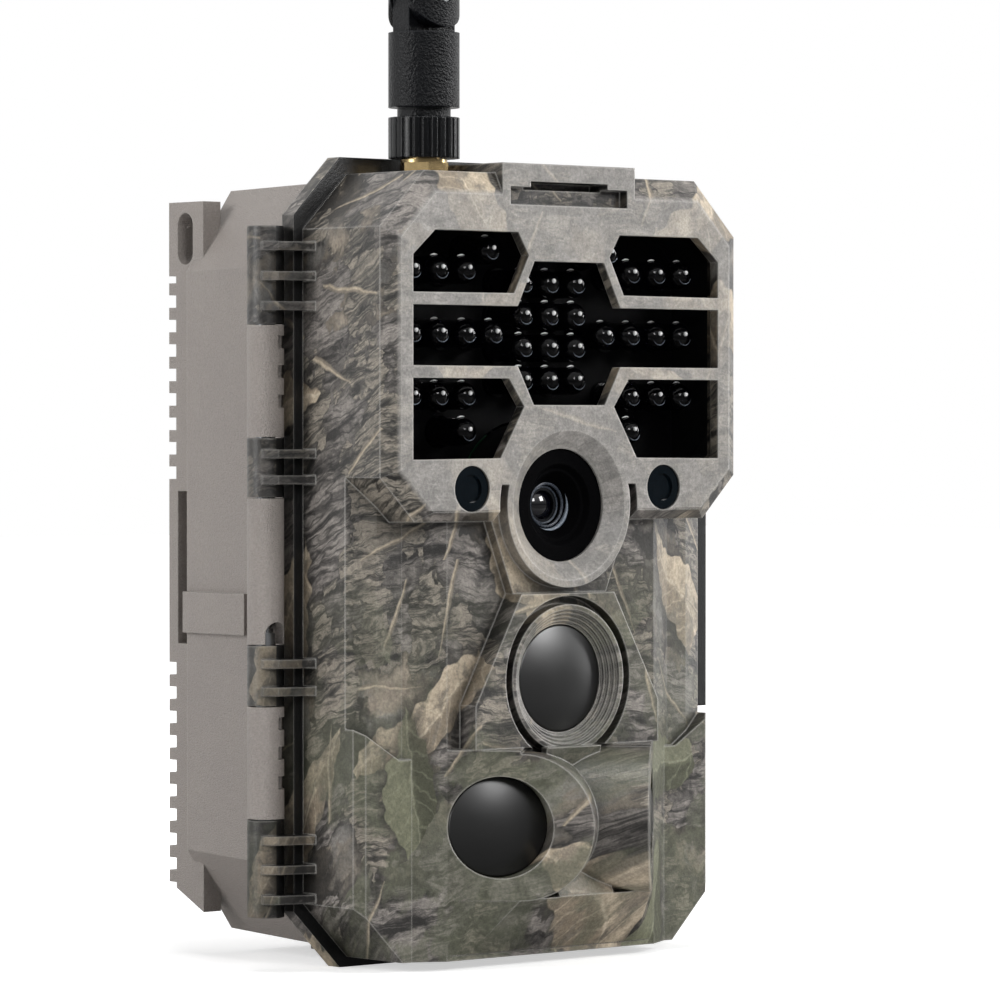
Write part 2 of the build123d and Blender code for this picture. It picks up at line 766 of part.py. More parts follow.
def key(x, z):
    """Round key cap with a retaining flange behind the panel."""
    with BuildPart() as cap:
        with BuildSketch(depth_plane(key_proud)):
            with Locations((x, keypad_height + z)):
                Circle(key_radius)
        extrude(amount=key_proud - panel_front + 0.2 + 0.8)
        with BuildSketch(depth_plane(panel_front - 0.2)):
            with Locations((x, keypad_height + z)):
                Circle(key_radius + 0.9)
        extrude(amount=0.8)
        chamfer(cap.faces().sort_by(Axis.Y)[-1].edges(), 0.5)
    return cap


keys = {name: key(*place) for name, place in key_places.items()}

with BuildPart() as power_switch:
    with BuildSketch(depth_plane(1.2)):
        with Locations((switch_x, switch_height)):
            SlotCenterToCenter(1.0, 4.0, rotation=90)
    extrude(amount=1.2 - panel_front + 0.2 + 0.8)
    with BuildSketch(depth_plane(panel_front - 0.2)):
        with Locations((switch_x, switch_height)):
            Rectangle(5.4, 7.0)
    extrude(amount=0.8)

with BuildPart() as sd_socket:
    with BuildSketch(depth_plane(panel_front)):
        with Locations((card_x, card_height)):
            Rectangle(5.0, 14.0)
            Rectangle(1.3, 11.3, mode=Mode.SUBTRACT)
    extrude(amount=cover_cavity_depth + panel_front)
    with BuildSketch(depth_plane(-cover_cavity_depth)):
        with Locations((card_x, card_height)):
            Rectangle(5.0, 14.0)
    extrude(amount=-0.3)

with BuildPart() as sd_card:
    with BuildSketch(depth_plane(2.0)):
        with Locations((card_x, card_height)):
            Rectangle(1.0, 11.0)
    extrude(amount=15.0)

with BuildPart() as usb_socket:
    with BuildSketch(depth_plane(panel_back)):
        with Locations((-card_x, card_height)):
            Rectangle(4.0, 9.0)
    extrude(amount=cover_cavity_depth + panel_back)
    with BuildSketch(depth_plane(panel_back)):
        with Locations((-card_x, card_height)):
            SlotOverall(8.2, 2.6, rotation=90)
    extrude(amount=6, mode=Mode.SUBTRACT)

# ================= Antenna =================
collar_top = collar_bottom + collar_height
barrel_bottom = collar_top + neck_height
barrel_top = barrel_bottom + barrel_height
pin_height = barrel_top + antenna_pin_lift
antenna_axis = (antenna_x, antenna_y)

with BuildPart() as antenna_collar:
    with BuildSketch(Plane.XY.offset(collar_bottom)):
        with Locations(antenna_axis):
            Circle(antenna_radius)
            with PolarLocations(antenna_radius, 24):
                Circle(0.32, mode=Mode.SUBTRACT)
    extrude(amount=collar_height)
    with BuildSketch(Plane.XY.offset(collar_bottom)):
        with Locations(antenna_axis):
            Circle(stub_radius + pin_clearance)
    extrude(amount=collar_height - 1, mode=Mode.SUBTRACT)

with BuildPart() as antenna_barrel:
    with BuildSketch(Plane.XY.offset(collar_top)):
        with Locations(antenna_axis):
            Circle(antenna_radius - 1.6)
    extrude(amount=neck_height)
    with BuildSketch(Plane.XY.offset(barrel_bottom)):
        with Locations(antenna_axis):
            Circle(antenna_radius)
    extrude(amount=barrel_height)
    with BuildSketch(depth_plane(antenna_y + antenna_tongue / 2)):
        with Locations((antenna_x, pin_height)):
            Circle(antenna_radius - 1)
        with Locations((antenna_x, (barrel_top + pin_height) / 2)):
            Rectangle(2 * antenna_radius - 2, pin_height - barrel_top)
    extrude(amount=antenna_tongue)
    with BuildSketch(depth_plane(antenna_y + antenna_tongue / 2)):
        with Locations((antenna_x, pin_height)):
            Circle(antenna_pin_radius)
    extrude(amount=antenna_tongue, mode=Mode.SUBTRACT)

with BuildPart() as antenna_pin:
    with BuildSketch(depth_plane(antenna_y + antenna_radius - 0.6)):
        with Locations((antenna_x, pin_height)):
            Circle(antenna_pin_radius)
    extrude(amount=2 * antenna_radius - 1.2)

with BuildPart() as antenna_whip:
    # Fork with rounded cheeks on both sides of the tongue
    with BuildSketch(Plane.XY.offset(pin_height - cheek_radius)):
        with Locations(antenna_axis):
            Circle(antenna_radius)
    extrude(amount=2 * cheek_radius + 2)
    with BuildSketch(depth_plane(antenna_y + antenna_radius)):
        with Locations((antenna_x, pin_height)):
            Circle(cheek_radius)
        with Locations((antenna_x, pin_height + cheek_radius + 1)):
            Rectangle(2 * antenna_radius, 2 * cheek_radius + 2)
    extrude(amount=2 * antenna_radius, mode=Mode.INTERSECT)
    # Tapered whip
    with BuildSketch(Plane.XY.offset(pin_height + cheek_radius + 2)):
        with Locations(antenna_axis):
            Circle(antenna_radius)
    with BuildSketch(Plane.XY.offset(collar_bottom + antenna_length)):
        with Locations(antenna_axis):
            Circle(whip_tip_radius)
    loft()
    fillet(antenna_whip.faces().sort_by(Axis.Z)[-1].edges(), whip_tip_radius * 0.6)
    slot_half = antenna_tongue / 2 + 0.15
    slot_roof = antenna_radius - 1 + 0.4
    with BuildSketch(depth_plane(antenna_y + slot_half)):
        with Locations((antenna_x, pin_height + slot_roof - antenna_radius)):
            Rectangle(2 * antenna_radius + 1, 2 * antenna_radius)
    extrude(amount=2 * slot_half, mode=Mode.SUBTRACT)
    with BuildSketch(depth_plane(antenna_y + antenna_radius)):
        with Locations((antenna_x, pin_height)):
            Circle(antenna_pin_radius + pin_clearance)
    extrude(amount=2 * antenna_radius, mode=Mode.SUBTRACT)

# ================= Rear case =================
with BuildPart() as rear_case:
    with BuildSketch(depth_plane(parting_gap)):
        Polygon(*octagon(case_front_half_width, case_front_bottom, case_front_top,
                         case_corner_width, case_corner_height), align=None)
    with BuildSketch(depth_plane(case_depth)):
        Polygon(*octagon(case_back_half_width, case_back_bottom, case_back_top,
                         case_corner_width, case_corner_height), align=None)
    loft(ruled=True)
    # Raised band on each side
    for side in (-1, 1):
        with BuildSketch(Plane.XY.offset(band_bottom)):
            Polygon((side * 40, band_front), (side * (case_front_half_width + band_proud - 0.6), band_front),
                    (side * (case_back_half_width + band_proud), case_depth),
                    (side * 40, case_depth), align=None)
        extrude(amount=band_top - band_bottom)
        # Tree rib with teeth, strap slot and lock hole
        with BuildSketch(Plane.YZ.offset(side * rib_x - rib_thickness / 2)):
            Polygon((case_depth - 3, rib_bottom), (rib_back, rib_bottom + 4), (rib_back, rib_top),
                    (case_depth - 3, rib_top), align=None)
            for low, high in ((strap_slot_bottom, strap_slot_top), (lock_hole_bottom, lock_hole_top)):
                with Locations((rib_back - 1, (low + high) / 2)):
                    Rectangle(2 * (rib_tooth_back - rib_back + 1), high - low + 4)
            tooth_count = int((rib_top - rib_bottom - 8) / tooth_pitch)
            for tooth in range(tooth_count):
                with Locations((rib_back, rib_bottom + 5 + tooth_height / 2 + tooth * tooth_pitch)):
                    Rectangle(2 * (rib_tooth_back - rib_back), tooth_height)
        extrude(amount=rib_thickness)
        with BuildSketch(Plane.YZ.offset(side * rib_x - rib_thickness / 2)):
            slot_middle = (case_depth + 0.1 + strap_slot_back) / 2
            slot_width = strap_slot_back - case_depth - 0.1
            with Locations((slot_middle, (strap_slot_bottom + strap_slot_top) / 2)):
                Rectangle(slot_width, strap_slot_top - strap_slot_bottom)
            with Locations((slot_middle, (lock_hole_bottom + lock_hole_top) / 2)):
                SlotOverall(lock_hole_top - lock_hole_bottom, slot_width, rotation=90)
        extrude(amount=rib_thickness, mode=Mode.SUBTRACT)
        # Latch ears on the right
    for ear in latch_ears:
        with BuildSketch(Plane.XY.offset(ear)):
            with Locations((latch_pin_x, latch_pin_y)):
                Circle(latch_ear_radius)
            with Locations(((40 + latch_pin_x) / 2, latch_pin_y)):
                Rectangle(latch_pin_x - 40, 2 * latch_ear_radius)
        extrude(amount=latch_ear_thickness)
    # Hinge knuckles, each on a web behind the parting plane
    for low, high in case_knuckles:
        with BuildSketch(Plane.XY.offset(low)):
            with Locations((pin_x, 0)):
                Circle(knuckle_radius)
            with Locations(((pin_x - 40) / 2, (knuckle_radius + 0.4) / 2)):
                Rectangle(-40 - pin_x, knuckle_radius - 0.4)
        extrude(amount=high - low)
    # Tripod foot
    with BuildSketch(Plane.XY):
        with Locations((0, socket_y)):
            RectangleRounded(2 * foot_half_width, foot_back - foot_front, 3)
    extrude(amount=case_front_bottom + case_wall)
    # Hollow
    with BuildSketch(depth_plane(parting_gap)):
        Polygon(*octagon(case_front_half_width - case_wall, case_front_bottom + case_wall,
                         case_front_top - case_wall, case_corner_width - 0.8, case_corner_height - 1), align=None)
    with BuildSketch(depth_plane(case_depth - case_wall)):
        Polygon(*octagon(case_back_half_width - case_wall, case_back_bottom + case_wall,
                         case_back_top - case_wall, case_corner_width - 0.8, case_corner_height - 1), align=None)
    loft(ruled=True, mode=Mode.SUBTRACT)
    # Boss and bore of the tripod insert
    with BuildSketch(Plane.XY.offset(case_front_bottom)):
        with Locations((0, socket_y)):
            Circle(insert_radius + 2)
    extrude(amount=insert_length + 1.5 - case_front_bottom)
    with BuildSketch(Plane.XY):
        with Locations((0, socket_y)):
            Circle(insert_radius)
    extrude(amount=insert_length, mode=Mode.SUBTRACT)
    # Gasket groove in the front edge of the wall
    with BuildSketch(depth_plane(parting_gap)):
        Polygon(*octagon(case_front_half_width - 0.6, case_front_bottom + 0.6, case_front_top - 0.6,
                         case_corner_width, case_corner_height), align=None)
        Polygon(*octagon(case_front_half_width - 0.6 - gasket_width, case_front_bottom + 0.6 + gasket_width,
                         case_front_top - 0.6 - gasket_width, case_corner_width, case_corner_height),
                align=None, mode=Mode.SUBTRACT)
    extrude(amount=-gasket_depth, mode=Mode.SUBTRACT)
    # Slots in the case knuckles, screw notch and the pin bore
    for low, high in (case_knuckles[0], case_knuckles[2]):
        slots = int((high - low - 4) / 5.25)
        for slot in range(slots):
            with BuildSketch(Plane.XY.offset(high - 4.1 - slot * 5.25)):
                with Locations((pin_x + 0.3 + 1.6, -1.8)):
                    Rectangle(3.2, 3.6)
            extrude(amount=2.3, mode=Mode.SUBTRACT)
    with BuildSketch(depth_plane(0)):
        with Locations((pin_x, case_knuckles[1][0])):
            Rectangle(2 * notch_half_width, 2 * (notch_top - case_knuckles[1][0]) - 2 * notch_half_width)
        with Locations((pin_x, notch_top - notch_half_width)):
            Circle(notch_half_width)
    extrude(amount=knuckle_radius + 1, mode=Mode.SUBTRACT)
    with BuildSketch(Plane.XY.offset(case_knuckles[-1][0])):
        with Locations((pin_x, 0)):
            Circle(pin_radius + pin_clearance)
    extrude(amount=case_knuckles[0][1] - case_knuckles[-1][0], mode=Mode.SUBTRACT)
    with BuildSketch(Plane.XY.offset(latch_ears[0])):
        with Locations((latch_pin_x, latch_pin_y)):
            Circle(latch_pin_radius)
    extrude(amount=latch_ears[1] + latch_ear_thickness - latch_ears[0], mode=Mode.SUBTRACT)

with BuildPart() as door_gasket:
    with BuildSketch(depth_plane(parting_gap + gasket_depth)):
        Polygon(*octagon(case_front_half_width - 0.6, case_front_bottom + 0.6, case_front_top - 0.6,
                         case_corner_width, case_corner_height), align=None)
        Polygon(*octagon(case_front_half_width - 0.6 - gasket_width, case_front_bottom + 0.6 + gasket_width,
                         case_front_top - 0.6 - gasket_width, case_corner_width, case_corner_height),
                align=None, mode=Mode.SUBTRACT)
    extrude(amount=gasket_depth + parting_gap - 0.05)

with BuildPart() as hinge_pin_upper:
    with BuildSketch(Plane.XY.offset(notch_top)):
        with Locations((pin_x, 0)):
            Circle(pin_radius)
    extrude(amount=cover_knuckle_top - notch_top - 0.6)

with BuildPart() as hinge_pin_lower:
    with BuildSketch(Plane.XY.offset(cover_knuckle_bottom + 0.4)):
        with Locations((pin_x, 0)):
            Circle(pin_radius)
    extrude(amount=case_knuckles[1][0] + 0.6 - cover_knuckle_bottom - 0.4)

with BuildPart() as hinge_pin_screw:
    with BuildSketch(Plane.XY.offset(case_knuckles[1][0] + 0.6)):
        with Locations((pin_x, 0)):
            Circle(pin_radius - 0.1)
    extrude(amount=1.4)
    with BuildSketch(Plane.XY.offset(case_knuckles[1][0] + 2.0)):
        with Locations((pin_x, 0)):
            Circle(1.0)
    extrude(amount=notch_top - case_knuckles[1][0] - 2.0)

with BuildPart() as tripod_insert:
    with BuildSketch(Plane.XY):
        with Locations((0, socket_y)):
            Circle(insert_radius)
            Circle(insert_bore_radius, mode=Mode.SUBTRACT)
    extrude(amount=insert_length)

with BuildPart() as latch_pin:
    with BuildSketch(Plane.XY.offset(latch_ears[0])):
        with Locations((latch_pin_x, latch_pin_y)):
            Circle(latch_pin_radius)
    extrude(amount=latch_ears[1] + latch_ear_thickness - latch_ears[0])

barrel_low = latch_ears[0] + latch_ear_thickness + 0.3
barrel_high = latch_ears[1] - 0.3
with BuildPart() as latch_lever:
    latch_outer_x = latch_inner_x + latch_thickness
    with BuildSketch(Plane.XY.offset(latch_bottom)):
        Polygon((latch_inner_x, latch_pin_y - latch_ear_radius - 0.5),
                (latch_outer_x, latch_pin_y - latch_ear_radius - 0.5),
                (latch_outer_x, latch_front + 0.8), (latch_outer_x - 0.8, latch_front),
                (rim_half_width + 0.3, latch_front), (rim_half_width + 0.3, latch_front + 1.6),
                (latch_inner_x, latch_front + 2.2), align=None)
    extrude(amount=latch_top - latch_bottom)
    with BuildSketch(Plane.XY.offset(barrel_low)):
        with Locations((latch_pin_x, latch_pin_y)):
            Circle(latch_barrel_radius)
        with Locations(((latch_inner_x + latch_outer_x) / 2, latch_pin_y - latch_ear_radius / 2 - 0.5)):
            Rectangle(latch_thickness, latch_ear_radius + 1)
    extrude(amount=barrel_high - barrel_low)
    with BuildSketch(Plane.XY.offset(barrel_low)):
        with Locations((latch_pin_x, latch_pin_y)):
            Circle(latch_pin_radius + pin_clearance)
    extrude(amount=barrel_high - barrel_low, mode=Mode.SUBTRACT)

# ================= Batteries =================
holder_back = case_depth - case_wall
cell_y = holder_back - holder_floor - cell_radius - 0.2
cell_columns = [(i - 1.5) * cell_pitch for i in range(4)]
row_margin = 1.6
holder_bottom = cell_rows[0] - row_margin - 1.4
holder_top = cell_rows[-1] + cell_length + row_margin + 1.4

with BuildPart() as battery_holder:
    with BuildSketch(Plane.XY.offset(holder_bottom)):
        with Locations((0, (holder_front + holder_back) / 2)):
            Rectangle(2 * holder_half_width, holder_back - holder_front)
    extrude(amount=holder_top - holder_bottom)
    for row in cell_rows:
        with BuildSketch(Plane.XY.offset(row - row_margin)):
            with Locations(*[(x, cell_y) for x in cell_columns]):
                Circle(cell_radius + 0.2)
            with Locations((0, (holder_front + cell_y) / 2)):
                Rectangle(4 * cell_pitch - 0.1, cell_y - holder_front)
        extrude(amount=cell_length + 2 * row_margin, mode=Mode.SUBTRACT)

with BuildPart() as battery_cells:
    for row in cell_rows:
        for index, x in enumerate(cell_columns):
            nub_side = index % 2
            with BuildSketch(Plane.XY.offset(row + 1.2 * (1 - nub_side))):
                with Locations((x, cell_y)):
                    Circle(cell_radius)
            extrude(amount=cell_length - 1.2)
            with BuildSketch(Plane.XY.offset(row)):
                with Locations((x, cell_y)):
                    Circle(2.7)
            extrude(amount=cell_length)

with BuildPart() as battery_contacts:
    for row in cell_rows:
        for index, x in enumerate(cell_columns):
            for end in (row - row_margin, row + cell_length + row_margin - 0.3):
                with BuildSketch(Plane.XY.offset(end)):
                    with Locations((x, cell_y)):
                        Rectangle(10, 9)
                extrude(amount=0.3)

with BuildPart() as battery_springs:
    for row in cell_rows:
        for index, x in enumerate(cell_columns):
            nub_up = index % 2
            spring_low = row - row_margin + 0.3 if nub_up else row + cell_length
            with BuildSketch(Plane.XY.offset(spring_low)):
                with Locations((x, cell_y)):
                    Circle(3.6)
                    Circle(2.9, mode=Mode.SUBTRACT)
            extrude(amount=row_margin - 0.3)

pieces = {
    "rear_case": rear_case, "door_gasket": door_gasket, "hinge_pin_upper": hinge_pin_upper,
    "hinge_pin_lower": hinge_pin_lower, "hinge_pin_screw": hinge_pin_screw, "latch_pin": latch_pin,
    "tripod_insert": tripod_insert, "battery_holder": battery_holder, "battery_cells": battery_cells,
    "battery_contacts": battery_contacts, "battery_springs": battery_springs, "latch_lever": latch_lever,
    "front_cover": front_cover, "ir_filter": ir_filter, "led_board": led_board, "ir_leds": ir_leds,
    "lens_hood": lens_hood, "lens_barrel": lens_barrel, "lens_element": lens_element,
    "image_board": image_board, "centre_pir_lens": centre_pir_lens, "left_pir_lens": left_pir_lens,
    "right_pir_lens": right_pir_lens, "pir_sensors": pir_sensors,
    "light_sensor_window": light_sensor_window, "indicator_window": indicator_window,
    "antenna_connector": antenna_connector, "main_board": main_board, "board_chips": board_chips,
    "board_screws": board_screws, "control_panel": control_panel, "panel_screws": panel_screws,
    "display_module": display_module, "display_glass": display_glass, "speaker": speaker,
    "key_switches": key_switches, "power_switch": power_switch, "sd_socket": sd_socket,
    "sd_card": sd_card, "usb_socket": usb_socket, "antenna_collar": antenna_collar,
    "antenna_barrel": antenna_barrel, "antenna_pin": antenna_pin, "antenna_whip": antenna_whip, **keys,
}
# The finished part stands with the mouth of its tripod socket at the origin
to_socket = Location((0, -socket_y, 0))
for name, piece in pieces.items():
    placed = piece.part.moved(to_socket)
    placed.label = name
    export_step(placed, f"parts/{name}.step")
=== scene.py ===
# %% [markdown]
# # A trail camera in camouflage plastic
# The object is a weatherproof game camera: a taupe rear case, a camouflaged front cover
# that swings on a side hinge, an infrared lamp block, a lens, motion sensors and a short
# antenna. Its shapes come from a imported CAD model; this lesson gives each piece the finish
# of its real material and adds the details that are too fine for the CAD solids.

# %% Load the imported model
from math import radians

import bpy
import numpy as np
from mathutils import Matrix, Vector


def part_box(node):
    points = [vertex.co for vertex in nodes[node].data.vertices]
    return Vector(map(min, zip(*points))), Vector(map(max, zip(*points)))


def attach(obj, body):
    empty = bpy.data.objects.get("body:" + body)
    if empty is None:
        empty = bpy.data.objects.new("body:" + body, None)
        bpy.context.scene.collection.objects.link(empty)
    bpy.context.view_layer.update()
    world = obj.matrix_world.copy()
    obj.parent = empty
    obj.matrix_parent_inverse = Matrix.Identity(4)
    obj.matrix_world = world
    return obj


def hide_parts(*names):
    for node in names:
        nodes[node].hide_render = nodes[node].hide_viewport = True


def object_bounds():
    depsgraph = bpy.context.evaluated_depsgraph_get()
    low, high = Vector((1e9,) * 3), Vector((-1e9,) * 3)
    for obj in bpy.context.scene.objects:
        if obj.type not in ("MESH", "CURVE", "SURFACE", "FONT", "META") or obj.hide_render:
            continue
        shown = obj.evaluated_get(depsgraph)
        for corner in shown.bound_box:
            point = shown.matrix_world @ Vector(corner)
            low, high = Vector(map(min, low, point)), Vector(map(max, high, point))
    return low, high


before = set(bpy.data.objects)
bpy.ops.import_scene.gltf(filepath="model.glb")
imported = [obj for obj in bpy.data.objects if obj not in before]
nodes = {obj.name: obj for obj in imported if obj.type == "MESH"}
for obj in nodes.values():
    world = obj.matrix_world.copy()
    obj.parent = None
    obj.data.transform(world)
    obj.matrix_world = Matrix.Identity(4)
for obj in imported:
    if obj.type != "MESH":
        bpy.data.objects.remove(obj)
cad_low, cad_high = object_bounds()
MM = 0.001

# %% [markdown]
# ## Small helpers for materials
# Colours are written as sRGB hex values, the way a designer notes them, and one function
# turns them into the linear numbers that the shader works in. A second function adds one
# node with its settings and links, so every material below is a short list of nodes. The
# other two start a material and put it on CAD pieces.

# %% Colour, node and material helpers
def linear(hex_colour):
    """Linear RGBA of an sRGB hex colour: the standard curve, undone channel by channel."""
    channels = np.array([int(hex_colour[i:i + 2], 16) for i in (1, 3, 5)]) / 255.0
    low = channels / 12.92
    high = ((channels + 0.055) / 1.055) ** 2.4
    return (*np.where(channels <= 0.04045, low, high).tolist(), 1.0)


def node(tree, kind, *inputs, out=0, stops=None, sockets=None, **settings):
    """Adds one shader node and returns one of its outputs, or all where out is None. Inputs
    are fed in order, sockets by name or number; a value is set and an output is linked."""
    made = tree.nodes.new("ShaderNode" + kind)
    for name, value in settings.items():
        setattr(made, name, value)
    for place, value in [*enumerate(inputs), *(sockets or {}).items()]:
        if isinstance(value, bpy.types.NodeSocket):
            tree.links.new(value, made.inputs[place])
        elif value is not None:
            made.inputs[place].default_value = value
    for i, (position, colour) in enumerate(stops or []):
        if i > 1:
            made.color_ramp.elements.new(position)
        made.color_ramp.elements[i].position = position
        made.color_ramp.elements[i].color = linear(colour)
    return made.outputs if out is None else made.outputs[out]


def new_material(name):
    """An empty node material with its output; returns the material, its tree and the output."""
    material = bpy.data.materials.new(name)
    material.use_nodes = True
    material.node_tree.nodes.clear()
    output = material.node_tree.nodes.new("ShaderNodeOutputMaterial")
    return material, material.node_tree, output


def dress(material, *names):
    """Gives CAD nodes a material through their own material slots."""
    for name in names:
        for material_slot in nodes[name].material_slots:
            material_slot.material = material


print("white as the shader sees it:", linear("#ffffff"))

# %% [markdown]
# ## Camera
# The camera stands a metre off, to the left of the front, at the height of the lamps, with
# a long lens, which keeps the verticals parallel.

# %% Place the camera
camera_data = bpy.data.cameras.new("camera")
camera_data.sensor_width = 36.0
camera_data.lens = 189.5
camera_data.clip_start = 0.05
camera_data.clip_end = 50
camera = bpy.data.objects.new("camera", camera_data)
bpy.context.scene.collection.objects.link(camera)
camera.location = (-0.6326, -0.7463, 0.0967)
view_direction = Vector((0.6584, 0.7525, -0.0138))
camera.rotation_euler = view_direction.to_track_quat("-Z", "Y").to_euler()
bpy.context.scene.camera = camera
print("camera at", [round(c, 3) for c in camera.location])

# %% [markdown]
# ## World
# A dim world fills the shadows, so that the grooves stay deep. It is white where the camera,
# a mirror or a glass looks at it. A studio is dim on the camera's side, so what a glossy face
# mirrors from there is darker than the white sweep behind the object, and it grows brighter
# overhead, where the ceiling is lit.

# %% World light
scene = bpy.context.scene
scene.view_settings.view_transform = "Standard"
world = bpy.data.worlds.new("studio")
scene.world = world
world.use_nodes = True
sky = world.node_tree
sky.nodes.clear()
fill_strength = 0.1
near_side_strength = 0.12
# Parts of a unit direction: how far it points up, and how far to the sweep behind
ceiling = 0.6
near_side, sweep_side = -0.5, 0.1
ray = node(sky, "LightPath", out=None)
towards = node(sky, "SeparateXYZ", node(sky, "TexCoord"), out=None)
overhead = node(sky, "MapRange", towards[2], 0.0, ceiling, near_side_strength, 1.0)
mirrored = node(sky, "MapRange", towards[1], near_side, sweep_side, overhead, 1.0)
mirrored = node(sky, "Math", mirrored, ray["Is Glossy Ray"], operation="MULTIPLY")
seen = node(sky, "Math", ray["Is Camera Ray"], ray["Is Transmission Ray"], operation="MAXIMUM")
seen = node(sky, "Math", seen, mirrored, operation="MAXIMUM")
strength = node(sky, "Math", seen, fill_strength, operation="MAXIMUM")
background = node(sky, "Background", linear("#ffffff"), strength)
world_output = sky.nodes.new("ShaderNodeOutputWorld")
sky.links.new(background, world_output.inputs[0])
print("world fill:", fill_strength)

# %% [markdown]
# ## Studio light
# Five soft boxes light the object from the front, both sides and above. Large boxes give
# soft shadows, and the key box stands to the right of the front, so that the left side is
# lit by its own box alone and the two faces differ in tone.

# %% Soft boxes
def soft_box(name, place, target, width, height, watts):
    """A rectangular area light at place, turned to face target."""
    data = bpy.data.lights.new(name, "AREA")
    data.shape = "RECTANGLE"
    data.size, data.size_y = width, height
    data.energy = watts
    lamp = bpy.data.objects.new(name, data)
    scene.collection.objects.link(lamp)
    lamp.location = place
    aim = Vector(target) - Vector(place)
    lamp.rotation_euler = aim.to_track_quat("-Z", "Y").to_euler()
    return lamp


middle = (0, 0, 0.08)
soft_boxes = [
    soft_box("key_box", (0.7, -1.25, 0.72), middle, 0.5, 0.5, 13),
    soft_box("front_box", (-0.5, -1.45, 0.75), middle, 0.4, 0.4, 7),
    soft_box("left_box", (-1.5, 0.35, 0.6), middle, 0.6, 1.0, 15),
    soft_box("right_box", (1.5, -0.5, 0.4), middle, 0.3, 0.7, 8),
    soft_box("top_box", (0.0, -0.1, 1.4), middle, 0.8, 0.5, 8),
]
print("soft boxes:", {box.name: box.data.energy for box in soft_boxes})

# %% [markdown]
# ## Floor
# The object stands on white paper that is lit until it is plain white. Here the paper glows
# to the camera, and less close to the object, so that the contact shadow stays. What a glossy
# face mirrors of it is darker near the object and on the camera's side, as in a studio.

# %% White paper
floor_size = 6.0
bpy.ops.mesh.primitive_plane_add(size=floor_size, location=(0, 0, cad_low.z))
floor = bpy.context.object
floor.name = "floor"
floor_material, tree, output = new_material("white_paper")
# Distances from the middle in metres, and the glow at the shadow's core
shadow_core, shadow_end, core_glow = 0.07, 0.3, 0.55
mirror_dark, mirror_light, dark_share = 0.1, 0.9, 0.15
near_floor = -0.3
ray = node(tree, "LightPath", out=None)
seen = node(tree, "Math", ray["Is Camera Ray"], ray["Is Transmission Ray"], operation="MAXIMUM")
seen = node(tree, "Math", seen, ray["Is Glossy Ray"], operation="MAXIMUM")
place = node(tree, "TexCoord", out=3)
distance = node(tree, "VectorMath", place, operation="LENGTH", out=1)
lift = node(tree, "MapRange", distance, shadow_core, shadow_end, core_glow, 1.0,
            interpolation_type="SMOOTHSTEP")
lift = node(tree, "Math", lift, seen, operation="MULTIPLY")
shaded = node(tree, "MapRange", distance, mirror_dark, mirror_light, dark_share, 1.0,
              interpolation_type="SMOOTHSTEP")
spread = node(tree, "SeparateXYZ", place, out=None)
dim_side = node(tree, "MapRange", spread[1], near_floor, 0.0, near_side_strength, 1.0)
shaded = node(tree, "Math", shaded, dim_side, operation="MINIMUM")
shaded = node(tree, "MapRange", ray["Is Glossy Ray"], 0.0, 1.0, 1.0, shaded)
lift = node(tree, "Math", lift, shaded, operation="MULTIPLY")
white = node(tree, "VectorMath", linear("#e8e8e8")[:3], sockets={3: shaded}, operation="SCALE")
paper = node(tree, "BsdfDiffuse", white)
glow = node(tree, "Emission", linear("#ffffff"), lift)
tree.links.new(node(tree, "AddShader", paper, glow), output.inputs[0])
floor.data.materials.append(floor_material)
print("floor:", floor_size, "m wide at z =", round(cad_low.z, 4))

# %% [markdown]
# ## Moulded ABS
# The case is injection-moulded ABS. The mould is spark-eroded, which leaves a fine satin
# grain of about a quarter of a millimetre, and the corners are slightly round and catch the
# light. The bevel node rounds the light on the edges without touching the mesh. The edges
# are also painted paler: a painted highlight, with a little wear.

# %% Grain, and edges painted pale as highlight and wear
def millimetres(tree):
    """Object coordinates in millimetres."""
    place = node(tree, "TexCoord", out=3)
    return node(tree, "VectorMath", place, sockets={3: 1 / MM}, operation="SCALE")


def soft_edges(tree, radius, low=0.8, high=0.99):
    """Normal rounded over the edges by a radius in mm, and a mask of those edges. The mask is
    how far the rounded normal leans from the flat one: 1 on an edge, 0 on a face."""
    rounded = node(tree, "Bevel", radius * MM, samples=4)
    flat = node(tree, "NewGeometry", out=1)
    lean = node(tree, "VectorMath", rounded, flat, operation="DOT_PRODUCT", out=1)
    return rounded, node(tree, "MapRange", lean, low, high, 1.0, 0.0)


def grain_bump(tree, place, pitch, height, rounded):
    """Normal of a spark-eroded surface: grain of one pitch in mm on the rounded normal."""
    grain = node(tree, "TexNoise", place, sockets={"Scale": 1 / pitch, "Detail": 2.0})
    return node(tree, "Bump", sockets={"Strength": height, "Distance": MM, "Height": grain,
                                       "Normal": rounded})


